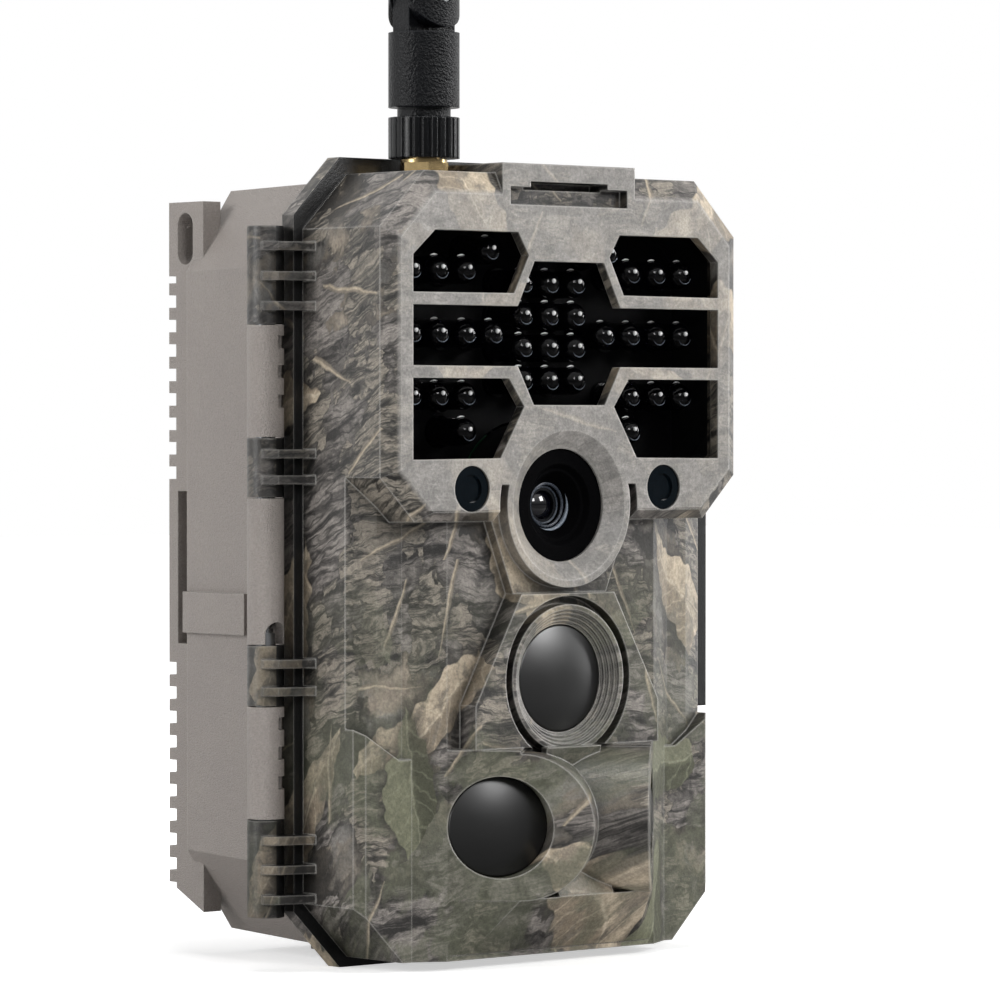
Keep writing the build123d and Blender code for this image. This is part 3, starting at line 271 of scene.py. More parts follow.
def moulded(name, colour, second, edge, roughness, pitch=0.25, grain=0.12, highlight_and_wear_share=0.35,
            specular=0.5):
    """Moulded plastic: two close tones in soft clouds, edges painted paler as a highlight with a
    little wear, and grain, whose pitch in mm is drawn as coarse as it has to be to show."""
    clouds_per_mm, specks_per_mm = 0.06, 2.6
    material, tree, output = new_material(name)
    place = millimetres(tree)
    rounded, edge_highlight_and_wear = soft_edges(tree, 0.4)
    clouds = node(tree, "TexNoise", place, sockets={"Scale": clouds_per_mm, "Detail": 4.0})
    tone = node(tree, "Mix", data_type="RGBA", out=2,
                sockets={0: clouds, 6: linear(colour), 7: linear(second)})
    # Paler edges: a painted highlight, with a little wear
    edge_highlight_and_wear = node(tree, "Math", edge_highlight_and_wear, highlight_and_wear_share, operation="MULTIPLY")
    tone = node(tree, "Mix", data_type="RGBA", out=2, sockets={0: edge_highlight_and_wear, 6: tone, 7: linear(edge)})
    speck = node(tree, "TexNoise", place, sockets={"Scale": specks_per_mm, "Detail": 1.0})
    dull = node(tree, "MapRange", speck, 0.3, 0.7, roughness - 0.06, roughness + 0.06)
    fleck = node(tree, "MapRange", speck, 0.3, 0.7, 0.9, 1.1)
    tone = node(tree, "VectorMath", tone, sockets={3: fleck}, operation="SCALE")
    surface = node(tree, "BsdfPrincipled",
                   sockets={"Base Color": tone, "Roughness": dull, "Specular IOR Level": specular,
                            "Normal": grain_bump(tree, place, pitch, grain, rounded)})
    tree.links.new(surface, output.inputs[0])
    return material


# %% Plastics of the case, the panel and the antenna
# A spark-eroded mould gives a satin grain, which spreads the light evenly
taupe_abs = moulded("taupe_abs", "#8b8480", "#958e88", "#c9c3bb", 0.45, grain=0.5)
black_abs = moulded("black_abs", "#111112", "#161617", "#2c2c2d", 0.55, specular=0.3)
# Blasted matt black ABS swallows light
hood_abs = moulded("matt_black_abs", "#020203", "#040405", "#050506", 0.7, specular=0.02)
# Keys from a finer mould are plain and a little smoother to the eye
keypad_abs = moulded("grey_keypad_abs", "#8d8c88", "#939290", "#b5b4b0", 0.5)
# A coarse etched grain breaks the sheen of the antenna into small glints
antenna_abs = moulded("black_speckled_abs", "#050608", "#0c0d10", "#3a3d43", 0.36, pitch=0.45,
                      grain=0.3, specular=0.15)
# Nylon from a polished mould is glossy between its knurls
ring_nylon = moulded("glossy_black_nylon", "#050608", "#08090b", "#25272c", 0.2, grain=0.03,
                     specular=0.25)
# Pressed rubber shows hardly any highlight, and cast chip epoxy only a dull one
seal_rubber = moulded("seal_rubber", "#111111", "#151515", "#202020", 0.75, specular=0.3)
chip_epoxy = moulded("chip_epoxy", "#131314", "#18181a", "#2b2b2d", 0.6, specular=0.3)
dress(taupe_abs, "rear_case")
dress(black_abs, "control_panel", "battery_holder", "speaker", "power_switch")
dress(hood_abs, "lens_hood")
dress(keypad_abs, "key_up", "key_down", "key_left", "key_right", "key_ok")
dress(antenna_abs, "antenna_whip", "antenna_barrel")
dress(ring_nylon, "antenna_collar")
dress(seal_rubber, "door_gasket")
dress(chip_epoxy, "board_chips", "key_switches", "sd_socket", "sd_card")
plastics = (taupe_abs, black_abs, hood_abs, keypad_abs, antenna_abs, ring_nylon, seal_rubber,
            chip_epoxy)
print("moulded plastics:", [plastic.name for plastic in plastics])

# %% [markdown]
# ## Camouflage film
# The cover is ABS with a camouflage film floated on in a water bath, then a satin varnish.
# The print shows layered bark, dead leaves and moss in taupe, charcoal, tan and olive. Here
# it is a generic design of its own: the film is one flat sheet, so its pattern is worked
# out on two coordinates that run across the front and wrap round the sides.

# %% Film coordinates
turn_half_width, wrap_depth, stoop = 30.0, 40.0, 0.45


def film_plane(tree, place):
    """The film plane and x, y and z, in mm. Across is x plus the depth behind the front, which
    counts in full from turn_half_width outwards and with the side's sign. Up is z plus a part
    of y, the stoop, so that a top face isn't one stretched line."""
    x, y, z = node(tree, "SeparateXYZ", place, out=None)
    side = node(tree, "MapRange", x, -turn_half_width, turn_half_width, -1.0, 1.0)
    depth = node(tree, "Math", y, wrap_depth, operation="ADD")
    wrap = node(tree, "Math", side, depth, operation="MULTIPLY")
    across = node(tree, "Math", x, wrap, operation="ADD")
    up = node(tree, "Math", y, stoop, z, operation="MULTIPLY_ADD")
    return node(tree, "CombineXYZ", across, up, 0.0), up, (x, y, z)


def ragged(tree, flat, size, reach, seed):
    """The film plane pushed about, by up to reach mm, in blotches of size mm."""
    laid = node(tree, "Mapping", flat, sockets={"Location": (41 * seed, -23 * seed, 0)})
    push = node(tree, "TexNoise", laid, noise_dimensions="2D", out=1,
                sockets={"Scale": 1 / size, "Detail": 4.0, "Roughness": 0.6})
    push = node(tree, "VectorMath", push, (0.5, 0.5, 0.5), operation="SUBTRACT")
    push = node(tree, "VectorMath", push, sockets={3: 2 * reach}, operation="SCALE")
    return node(tree, "VectorMath", flat, push, operation="ADD")


def printed(tree, ink, *layers):
    """Prints layers over an ink, in turn. Each is a colour, hex or worked out, its mask, and
    the share of the mask's strength at which it is laid."""
    for colour, mask, share in layers:
        if share < 1:
            mask = node(tree, "Math", mask, share, operation="MULTIPLY")
        below, above = (linear(c) if isinstance(c, str) else c for c in (ink, colour))
        ink = node(tree, "Mix", data_type="RGBA", out=2, sockets={0: mask, 6: below, 7: above})
    return ink


camo_film, tree, film_output = new_material("camouflage_film")
place = millimetres(tree)
flat, up, (x, y, z) = film_plane(tree, place)
soft = ragged(tree, flat, 22.0, 9.0, 1.0)
torn = ragged(tree, flat, 9.0, 5.0, 2.0)
night = "#23211f"
print("film wraps from x =", turn_half_width, "mm, darkest ink", night)

# %% [markdown]
# ## The ground of the print
# Under everything lie dry earth tones in wide soft clouds, grey streaks and the dark hollows
# between stems. A noise that is cut between two levels gives such blotches: close levels make
# a torn edge, far ones a soft cloud.

# %% Ground inks
def blotches(tree, place, size, low, high, seed, turn=0.0, stretch=(1, 1, 1), detail=4.0):
    """Blotches of size mm where noise is high: a mask that rises from low to high, and a wide
    soft one that starts below it, for the shade round them."""
    laid = node(tree, "Mapping", place, sockets={"Location": (31 * seed, -17 * seed, 0),
                                                 "Rotation": (0, 0, turn), "Scale": stretch})
    level = node(tree, "TexNoise", laid, noise_dimensions="2D",
                 sockets={"Scale": 1 / size, "Detail": detail, "Roughness": 0.62})
    mask = node(tree, "MapRange", level, low, high, 0.0, 1.0, interpolation_type="SMOOTHSTEP")
    shade = node(tree, "MapRange", level, low - 0.07, low + 0.01, 0.0, 1.0)
    return mask, shade


earth, _ = blotches(tree, soft, 30.0, 0.42, 0.6, 4.0)
stone, _ = blotches(tree, soft, 17.0, 0.5, 0.62, 9.0)
streaks, _ = blotches(tree, torn, 5.0, 0.5, 0.68, 11.0, turn=0.7, stretch=(0.3, 1, 1))
hollow, _ = blotches(tree, torn, 21.0, 0.53, 0.6, 13.0, turn=0.9, stretch=(0.55, 1, 1))
ink = printed(tree, "#635f59", ("#9a8f80", earth, 1), ("#7f7c77", stone, 1),
              ("#5b5752", streaks, 0.7), (night, hollow, 0.85))
print("film nodes with the ground inks:", len(tree.nodes))

# %% [markdown]
# ## Bark
# Bark is long split ridges with dark cracks. A noise squeezed to a fifth along one direction
# gives the ridges, a colour ramp paints their flanks, and the thin band where a second noise
# passes its middle level gives the cracks. Two slabs of it lie across each other, torn at
# their edges, each with shade round it.

# %% Bark inks
def bark(tree, place, turn, seed, dark, mid, light, ridge=2.8):
    """Bark ink: split ridges, ridge mm across and five times as long, dark in the cracks."""
    laid = node(tree, "Mapping", place, sockets={"Location": (29 * seed, 13 * seed, 0),
                                                 "Rotation": (0, 0, turn), "Scale": (0.2, 1, 1)})
    fibre = node(tree, "TexNoise", laid, noise_dimensions="2D",
                 sockets={"Scale": 1 / ridge, "Detail": 7.0, "Roughness": 0.7, "Distortion": 0.5})
    tone = node(tree, "ValToRGB", fibre,
                stops=[(0.37, dark), (0.46, mid), (0.57, light), (0.66, mid)])
    split = node(tree, "TexNoise", laid, noise_dimensions="2D",
                 sockets={"Scale": 0.35 / ridge, "Detail": 4.0, "Roughness": 0.6})
    split = node(tree, "Math", split, 0.5, operation="SUBTRACT")
    split = node(tree, "Math", split, operation="ABSOLUTE")
    crack = node(tree, "MapRange", split, 0.0, 0.03, 0.9, 0.0)
    return printed(tree, tone, (dark, crack, 1))


ridged = ragged(tree, flat, 14.0, 2.2, 53.0)
slab, shade = blotches(tree, torn, 40.0, 0.46, 0.475, 14.0, stretch=(0.8, 1.5, 1), turn=0.5)
grey_bark = bark(tree, ridged, 0.5, 5.0, "#262422", "#575350", "#8e8882")
ink = printed(tree, ink, (night, shade, 0.6), (grey_bark, slab, 1))
slab, shade = blotches(tree, torn, 30.0, 0.53, 0.545, 23.0, stretch=(1.6, 0.9, 1), turn=-0.4)
brown_bark = bark(tree, ridged, -0.95, 8.0, "#252321", "#524f49", "#90887c", ridge=2.2)
ink = printed(tree, ink, (night, shade, 0.7), (brown_bark, slab, 1))
print("film nodes with the bark:", len(tree.nodes))

# %% [markdown]
# ## Leaves and straw
# Dead leaves lie scattered, no two turned alike. A random mesh of cells gives one leaf to a
# cell, with the cell's own random colour for its turn and for whether it is there at all.
# Straw is the same leaf, long and very narrow.

# %% Leaf masks
def leaf(tree, place, cell, seed, length, width, share):
    """Masks of scattered leaves, one to a cell of a random mesh of cells, of which a share
    has one: each leaf has its own turn, its half width falls from width as one minus the
    square of the distance from its middle over length, which is half its own, and its edge
    is toothed. Gives the leaf, the shade round it, its dark half and its veins."""
    teeth_per_mm, tooth_share = 1.3, 0.07
    vein_slant, veins_per_mm = -0.8, 1.9
    shifted = node(tree, "VectorMath", place, (seed, -seed, 0), operation="ADD")
    cells = node(tree, "TexVoronoi", sockets={"Vector": shifted, "Scale": 1 / cell}, out=None,
                 voronoi_dimensions="2D")
    offset = node(tree, "VectorMath", shifted, cells["Position"], operation="SUBTRACT")
    lot = node(tree, "SeparateColor", cells["Color"], out=None)
    turn = node(tree, "Math", lot[0], 2 * np.pi, operation="MULTIPLY")
    turned = node(tree, "VectorRotate", offset, sockets={"Angle": turn}, rotation_type="Z_AXIS")
    along, aside, _ = node(tree, "SeparateXYZ", turned, out=None)
    far = node(tree, "Math", along, length, operation="DIVIDE")
    squared = node(tree, "Math", far, far, operation="MULTIPLY")
    shape = node(tree, "Math", squared, -width, width, operation="MULTIPLY_ADD")
    teeth = node(tree, "Math", along, teeth_per_mm, operation="MULTIPLY")
    teeth = node(tree, "Math", teeth, operation="SINE")
    shape = node(tree, "Math", teeth, tooth_share * width, shape, operation="MULTIPLY_ADD")
    reach = node(tree, "Math", aside, operation="ABSOLUTE")
    inside = node(tree, "Math", shape, reach, operation="SUBTRACT")
    chosen = node(tree, "Math", lot[1], share, operation="LESS_THAN")
    blade = node(tree, "MapRange", inside, 0.0, 0.35, 0.0, 1.0)
    blade = node(tree, "Math", blade, chosen, operation="MULTIPLY")
    shade = node(tree, "MapRange", inside, -2.4, 0.2, 0.0, 0.85)
    shade = node(tree, "Math", shade, chosen, operation="MULTIPLY")
    half = node(tree, "MapRange", aside, -0.15 * width, 0.2 * width, 0.0, 1.0)
    slant = node(tree, "Math", reach, vein_slant, along, operation="MULTIPLY_ADD")
    rows = node(tree, "Math", slant, veins_per_mm, operation="MULTIPLY")
    rows = node(tree, "Math", rows, operation="COSINE")
    rows = node(tree, "MapRange", rows, 0.8, 1.0, 0.0, 0.35)
    rib = node(tree, "MapRange", reach, 0.1, 0.4, 0.8, 0.0)
    return blade, shade, half, node(tree, "Math", rows, rib, operation="MAXIMUM")


# %% Dead leaves and straw
leaf_length, straw_length = 22.0, 13.0
curled = ragged(tree, ragged(tree, flat, 26.0, 5.0, 31.0), 3.0, 0.35, 37.0)
blade, shade, half, veins = leaf(tree, curled, 34.0, 12.0, leaf_length, 5.8, 0.55)
mottle, _ = blotches(tree, curled, 4.5, 0.48, 0.66, 33.0)
tan = printed(tree, "#b2a48f", ("#857968", half, 1), ("#c2b5a0", veins, 1),
              ("#6f685e", mottle, 0.75))
ink = printed(tree, ink, (night, shade, 0.8), (tan, blade, 1))
blown = ragged(tree, flat, 20.0, 1.6, 43.0)
blade, shade, half, _ = leaf(tree, blown, 15.0, 90.0, straw_length, 0.6, 0.5)
straw = printed(tree, "#a79b88", ("#7b7265", half, 1))
ink = printed(tree, ink, (night, shade, 0.35), (straw, blade, 1))
print("leaves", 2 * leaf_length, "mm long, straw", 2 * straw_length, "mm")

# %% [markdown]
# ## Moss
# Moss and fresh leaves grow near the ground, so green is kept to the foot of the cover by a
# mask that fades with height. It multiplies the masks of the moss and of its leaves.

# %% Moss and green leaves
moss_top, moss_full = 58.0, 18.0
low_down = node(tree, "MapRange", up, moss_full, moss_top, 1.0, 0.0)
moss, _ = blotches(tree, torn, 20.0, 0.42, 0.54, 41.0)
moss = node(tree, "Math", moss, low_down, operation="MULTIPLY")
curled = ragged(tree, ragged(tree, flat, 22.0, 5.0, 47.0), 4.0, 0.4, 49.0)
blade, shade, half, veins = leaf(tree, curled, 29.0, 71.0, 17.0, 6.6, 0.62)
green = printed(tree, "#6d6e5a", ("#484939", half, 1), ("#82836e", veins, 1))
shade = node(tree, "Math", shade, low_down, operation="MULTIPLY")
blade = node(tree, "Math", blade, low_down, operation="MULTIPLY")
ink = printed(tree, ink, ("#5f6150", moss, 0.6), (night, shade, 0.8), (green, blade, 1))
print("moss below", moss_top, "mm")

# %% [markdown]
# ## Where the film meets the moulding
# A film that is stretched over a proud form turns paler and plainer there, as on the frame of
# the lamp windows and the ring of the lens; the pale grey is also a painted sheen of these
# glossier faces. Places are measured on the CAD pieces, so the paler areas follow the moulding.

# %% Paler frame and ring: stretched film and painted sheen
frame_proud, frame_foot = 2.2, 82.0
ring_rim, ring_soft, ring_depth = 14.7, 0.4, 3.0
cover_low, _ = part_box("front_cover")
frame_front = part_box("ir_filter")[0].y / MM - frame_proud
hood_low, hood_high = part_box("lens_hood")
lens_height = (hood_low.z + hood_high.z) / 2 / MM
proud = node(tree, "MapRange", y, frame_front + 0.5, frame_front + 0.1, 0.0, 0.62)
high_up = node(tree, "Math", z, frame_foot, operation="GREATER_THAN")
proud = node(tree, "Math", proud, high_up, operation="MULTIPLY")
ring = node(tree, "VectorMath", place, (1, 0, 1), (0, 0, -lens_height), operation="MULTIPLY_ADD")
ring = node(tree, "VectorMath", ring, operation="LENGTH", out=1)
ring = node(tree, "MapRange", ring, ring_rim, ring_rim + ring_soft, 0.6, 0.0)
ahead = node(tree, "Math", y, frame_front + ring_depth, operation="LESS_THAN")
ring = node(tree, "Math", ring, ahead, operation="MULTIPLY")
proud = node(tree, "Math", proud, ring, operation="MAXIMUM")
# Paler grey: partly the stretched film, partly a painted sheen
ink = printed(tree, ink, ("#96938f", proud, 1))
print("frame front at y", round(frame_front, 2), "mm, lens at z", round(lens_height, 2))

# %% [markdown]
# ## Screen, painted shade and painted edge highlights
# Print is made of dots, here as flecks that are coarse enough to show. The film is darker
# where its own shape closes in on it: painted shade in the hollows. Edges are painted pale, a
# painted highlight with a little wear. The hinge fins are darkened as well: painted shade of
# the groove they stand in.

# %% Flecks, painted shade in hollows and on fins, painted edge highlights
for pitch, least, most in ((2.4, 0.82, 1.16), (0.55, 0.78, 1.24)):
    dots = node(tree, "TexNoise", place, sockets={"Scale": 1 / pitch, "Detail": 3.0,
                                                  "Roughness": 0.7})
    dots = node(tree, "MapRange", dots, 0.33, 0.67, least, most)
    ink = node(tree, "VectorMath", ink, sockets={3: dots}, operation="SCALE")
hollow_reach, fin_width = 14.0, 7.0
open_air = node(tree, "AmbientOcclusion", sockets={"Distance": hollow_reach * MM}, out=1,
                samples=6, only_local=True)
# Painted shade: the film is darkened where ambient occlusion finds a hollow
painted_hollow_shade = node(tree, "MapRange", open_air, 0.5, 0.93, 0.4, 1.0)
ink = node(tree, "VectorMath", ink, sockets={3: painted_hollow_shade}, operation="SCALE")
rounded, edge_highlight_and_wear = soft_edges(tree, 0.5, 0.86, 0.99)
# Paler edges: a painted highlight, with a little wear
ink = printed(tree, ink, ("#cfccc6", edge_highlight_and_wear, 0.55))
fin_end = cover_low.x / MM + fin_width
# Painted shade: the hinge fins are darkened to stand for the groove's shadow
fin_painted_shade = node(tree, "MapRange", x, fin_end, fin_end + 0.6, 0.4, 1.0)
ink = node(tree, "VectorMath", ink, sockets={3: fin_painted_shade}, operation="SCALE")
print("hollows within", hollow_reach, "mm, fins up to x", round(fin_end, 1))

# %% [markdown]
# ## Bare plastic inside
# Inside the shell the ABS is bare and black: behind the front wall, on faces that look
# inwards, and in the chamber of the lamps behind their windows. A face looks inwards where
# its normal points towards the cover's middle line.

# %% Bare inside and varnish
shell_middle, inward_least, wall_margin = 72.0, 3.0, 0.3
chamber_half_width, chamber_middle, chamber_half_height = 38.3, 111.5, 23.0
inner_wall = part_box("led_board")[0].y / MM
lamp_window_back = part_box("ir_filter")[1].y / MM + 0.05
facing = node(tree, "TexCoord", out=1)
outward = node(tree, "VectorMath", place, (1, 0, 1), (0, 0, -shell_middle),
               operation="MULTIPLY_ADD")
outward = node(tree, "VectorMath", outward, facing, operation="DOT_PRODUCT", out=1)
inner = node(tree, "Math", outward, inward_least, operation="LESS_THAN")
behind = node(tree, "Math", y, inner_wall - wall_margin, operation="GREATER_THAN")
inner = node(tree, "Math", inner, behind, operation="MULTIPLY")
sides = node(tree, "Math", x, operation="ABSOLUTE")
sides = node(tree, "Math", sides, chamber_half_width, operation="LESS_THAN")
chamber = node(tree, "Math", y, lamp_window_back, operation="GREATER_THAN")
chamber = node(tree, "Math", chamber, sides, operation="MULTIPLY")
level = node(tree, "Math", z, chamber_middle, chamber_half_height, operation="COMPARE")
chamber = node(tree, "Math", chamber, level, operation="MULTIPLY")
inner = node(tree, "Math", inner, chamber, operation="MAXIMUM")
ink = printed(tree, ink, ("#0b0b0c", inner, 1))
speck = node(tree, "TexNoise", place, sockets={"Scale": 2.2, "Detail": 1.0})
dull = node(tree, "MapRange", speck, 0.3, 0.7, 0.32, 0.46)
surface = node(tree, "BsdfPrincipled",
               sockets={"Base Color": ink, "Roughness": dull,
                        "Normal": grain_bump(tree, place, 0.3, 0.1, rounded)})
tree.links.new(surface, film_output.inputs[0])
dress(camo_film, "front_cover", "latch_lever")
print("film nodes:", len(tree.nodes), "inner wall at y", round(inner_wall, 2), "mm")

# %% [markdown]
# ## Windows, lamps and lenses
# The lamp windows are glossy smoked polycarbonate: nearly black, but the epoxy domes of
# the lamps still glint through them. Real glass bends light, but these plates are thin, so
# the windows are only made part see-through, which renders faster and exports well.

# %% Clear and glossy finishes
def glossy(name, colour, roughness, specular=0.5, alpha=1.0, metallic=0.0, haze_share=0.2):
    """A smooth finish of one colour with faint cloudiness in its gloss."""
    material, tree, output = new_material(name)
    place = millimetres(tree)
    haze = node(tree, "TexNoise", place, sockets={"Scale": 0.3, "Detail": 2.0})
    dull = node(tree, "MapRange", haze, 0.3, 0.7, roughness * (1 - haze_share),
                roughness * (1 + haze_share))
    tone = node(tree, "MapRange", haze, 0.2, 0.8, 0.9, 1.1)
    shade = node(tree, "VectorMath", linear(colour)[:3], sockets={3: tone}, operation="SCALE")
    surface = node(tree, "BsdfPrincipled",
                   sockets={"Base Color": shade, "Roughness": dull, "Metallic": metallic,
                            "Specular IOR Level": specular, "Alpha": alpha})
    tree.links.new(surface, output.inputs[0])
    return material


# Polished polycarbonate, smoked: clear enough for the glints of the lamps, dark for the rest
smoked_window = glossy("smoked_polycarbonate", "#010102", 0.05, specular=0.06, alpha=0.12)
# Cast epoxy: a hard clear gloss over black
led_epoxy = glossy("led_epoxy", "#010102", 0.05, specular=0.35)
# Pressed polyethylene film: a soft sheen that smears what it mirrors
sensor_film = glossy("sensor_polyethylene", "#010101", 0.33, specular=0.8, haze_share=0.03)
# Tinted polycarbonate: dark, with a cold cast
teal_window = glossy("teal_sensor_window", "#060d12", 0.15, specular=0.25)
# Ground and coated glass: small, sharp, bright reflections
coated_glass = glossy("coated_lens_glass", "#020207", 0.03, specular=0.8)
# Float glass over a display that is off: black and mirror-like
display_glass = glossy("display_glass", "#06090b", 0.05)
dress(smoked_window, "ir_filter")
dress(led_epoxy, "ir_leds")
dress(teal_window, "light_sensor_window", "indicator_window")
dress(coated_glass, "lens_element")
dress(display_glass, "display_glass", "display_module")
clear = (smoked_window, led_epoxy, sensor_film, teal_window, coated_glass, display_glass)
print("clear finishes:", [finish.name for finish in clear])

# %% [markdown]
# ## Metals, boards and cells
# The metal parts are turned, stamped or plated, and keep the default IOR, because a metal's
# colour alone says how much of each light it throws back. Boards wear a glossy solder mask
# and cells a printed sleeve. All are smooth, so the same short recipe serves them.

# %% Metals, boards and cells
# Anodised aluminium: a dark skin with the soft shine of the metal under it
black_anodised = glossy("black_anodised_aluminium", "#0c0f13", 0.3, metallic=0.4)
# Drawn and ground steel: bright and neutral
steel = glossy("bright_steel", "#8f9092", 0.3, metallic=1.0)
# Nickel plate: bright, with a warm tinge
nickel = glossy("nickel_plate", "#bcb7b0", 0.3, metallic=1.0)
# Turned brass: yellow, with a soft shine from the fine marks of the tool
brass = glossy("turned_brass", "#b09a70", 0.25, metallic=1.0)
# Solder mask, printed: glossy green on the boards, matt black round the lamps
solder_mask = glossy("green_solder_mask", "#12502e", 0.35)
black_mask = glossy("black_solder_mask", "#030304", 0.5, specular=0.1)
# The metallised sleeve of a cell: green with a shimmer
cell_sleeve = glossy("cell_sleeve", "#3c4a33", 0.3, metallic=0.4)
dress(black_anodised, "lens_barrel")
dress(steel, "hinge_pin_upper", "hinge_pin_lower", "hinge_pin_screw", "latch_pin", "antenna_pin",
      "panel_screws", "board_screws", "usb_socket", "pir_sensors")
dress(nickel, "battery_contacts")
dress(brass, "antenna_connector", "tripod_insert")
dress(black_mask, "led_board")
dress(solder_mask, "main_board", "image_board")
dress(cell_sleeve, "battery_cells")
metals = (black_anodised, steel, nickel, brass, solder_mask, black_mask, cell_sleeve)
print("metals, boards and sleeves:", [finish.name for finish in metals])

# %% [markdown]
# ## Turned and coiled pieces
# The finest parts are round: rings in the lens hood, the painted crescents of the metal cups
# in the lamps, the painted glints on and behind them and the battery springs. Each is a grid of
# points from a formula, repeated over its places as one array, and every grid is closed, so it
# is a solid skin.

# %% A mesh over grids of points
def grid_mesh(name, points, material, body, node_replaced=None):
    """One mesh over many grids. points has the shape (copies, rows, columns, 3); both ways
    round, each face joins four neighbours, and the last row and column join the first."""
    copies, rows, columns, _ = points.shape
    number = np.arange(copies * rows * columns).reshape(copies, rows, columns)
    number = np.concatenate([number, number[:, :1]], axis=1)
    number = np.concatenate([number, number[:, :, :1]], axis=2)
    faces = np.stack([number[:, :-1, :-1], number[:, 1:, :-1], number[:, 1:, 1:],
                      number[:, :-1, 1:]], axis=-1).reshape(-1, 4)
    mesh = bpy.data.meshes.new(name)
    mesh.from_pydata(points.reshape(-1, 3).tolist(), [], faces.tolist())
    mesh.polygons.foreach_set("use_smooth", np.ones(len(faces), bool))
    mesh.materials.append(material)
    mesh.update()
    piece = bpy.data.objects.new(name, mesh)
    scene.collection.objects.link(piece)
    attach(piece, body)
    if node_replaced:
        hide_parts(node_replaced)
    print(name, "copies:", copies, "faces:", len(faces))
    return piece


def hoops(radii, depths, thickness, around=72, section=10, arc=2 * np.pi, start=0.0):
    """Rings about the y axis: a small circle of radius thickness is carried round a large one,
    x = (R + t cos v) cos u, z = (R + t cos v) sin u, y = depth + t sin v. With an arc under a
    full turn the small circle shrinks to nothing at both ends, which makes a crescent."""
    u = start + arc * np.linspace(0, 1, around, endpoint=arc < 2 * np.pi)[None, :, None]
    v = np.linspace(0, 2 * np.pi, section, endpoint=False)[None, None, :]
    radii, depths, thickness = (np.array(a, float)[:, None, None] for a in
                                (radii, depths, thickness))
    if arc < 2 * np.pi:
        thickness = thickness * np.sin(np.pi * np.linspace(0, 1, around))[None, :, None]
    far = radii + thickness * np.cos(v)
    return np.stack([far * np.cos(u), depths + thickness * np.sin(v) + 0 * u, far * np.sin(u)],
                    axis=-1) * MM


# %% [markdown]
# ## Rings in the lens hood
# The hood is a funnel with turned steps, which break up stray light. From outside they show
# as a bright lip and three bluish rings that narrow towards the glass, and as a crescent where
# the key box catches the widest step: a painted highlight, drawn as a lighter crescent piece.

# %% Lens rings
hood_front = hood_low.y / MM
lens_centre = np.array([(hood_low.x + hood_high.x) / 2, 0, (hood_low.z + hood_high.z) / 2])
# Turned and anodised steps: bluish black, with edges painted bright as a highlight; the lip is
# polished, and its finish also paints the lit crescent
ring_blue = moulded("blued_aluminium", "#1a2029", "#242b36", "#8b95a3", 0.3, highlight_and_wear_share=0.6, grain=0.03)
lip_and_painted_crescent_blue = moulded("polished_lip_and_painted_crescent", "#5a6470", "#6c7682", "#b8c0ca", 0.25, highlight_and_wear_share=0.3, grain=0.02)
rings = hoops([4.9, 3.9, 3.3], [hood_front + 2.9, hood_front + 3.7, hood_front + 4.4],
              [0.16, 0.3, 0.18])
grid_mesh("lens_rings", rings + lens_centre, ring_blue, "cover")
lip = hoops([6.15], [hood_front + 1.15], [0.11])
grid_mesh("lens_lip", lip + lens_centre, lip_and_painted_crescent_blue, "cover")
# Painted highlight: a lighter crescent where the key box catches the widest step
painted_lit_crescent = hoops([4.5], [hood_front + 3.0], [0.42], arc=0.8 * np.pi, start=1.35 * np.pi)
grid_mesh("lens_painted_crescent", painted_lit_crescent + lens_centre, lip_and_painted_crescent_blue, "cover")

# %% [markdown]
# ## Inside the lamps
# Each lamp is a 5 mm epoxy dome over a small metal cup. A dome shows its cup as a lit edge,
# drawn as a crescent that is a painted highlight. A white dot on the dome is a painted glint,
# and above it a white streak is the painted glint on the end of a lead on the board. The lamps
# stand in a core block, two arms and four corners.

# %% Where the lamps stand
lamp_pitch = 6.35
core_rows = (105.1, 111.0, 116.8, 122.6)
arm_start, arm_row = 13.5, 113.4
corner_start, corner_rows = 19.9, (124.7, 102.3)
corner_ends = ((14.3, 128.3), (19.9, 95.9))
lamps = [(x, z) for x in (-lamp_pitch, 0, lamp_pitch) for z in core_rows]
for side in (-1, 1):
    lamps += [(side * (arm_start + lamp_pitch * i), arm_row) for i in range(4)]
    lamps += [(side * (corner_start + lamp_pitch * i), z) for i in range(3) for z in corner_rows]
    lamps += [(side * x, z) for x, z in corner_ends]
lamps = np.array([(x, 0, z) for x, z in lamps]) * MM
lamp_places = lamps[:, None, None, :]
print("lamps:", len(lamps))

# %% Cups' painted crescents, painted glints and lead glints
# A cup's lit edge is drawn as a crescent on the skin of the dome, a painted highlight, where
# radius and depth lie on a ball: depth = R - sqrt(R squared - r squared) behind the tip
lamp_radius, cup_radius = 2.5, 1.55
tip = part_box("ir_leds")[0].y / MM
sink = lamp_radius - (lamp_radius ** 2 - cup_radius ** 2) ** 0.5
lit_cup_crescent = hoops([cup_radius], [tip + sink], [0.13], around=24, section=8, arc=0.8 * np.pi,
            start=1.12 * np.pi)
# Stamped tin plate seen through epoxy, drawn only where lit: a painted dim grey highlight
cup_painted_highlight = glossy("cup_tin_plate_painted_highlight", "#5d646e", 0.4, metallic=0.5)
grid_mesh("lamp_cup_painted_crescents", lit_cup_crescent + lamp_places, cup_painted_highlight, "cover")
glint_dot = hoops([0.16], [tip + 0.02], [0.28], around=12, section=8)
glint_offset = np.array([-0.2, 0.0, 0.5]) * MM
# Painted highlight: a white point that stands for the lamps' glint on each dome
painted_glint_white = glossy("painted_highlight_white", "#ffffff", 0.3, specular=1.0)
grid_mesh("lamp_glints", glint_dot + lamp_places + glint_offset, painted_glint_white, "cover")
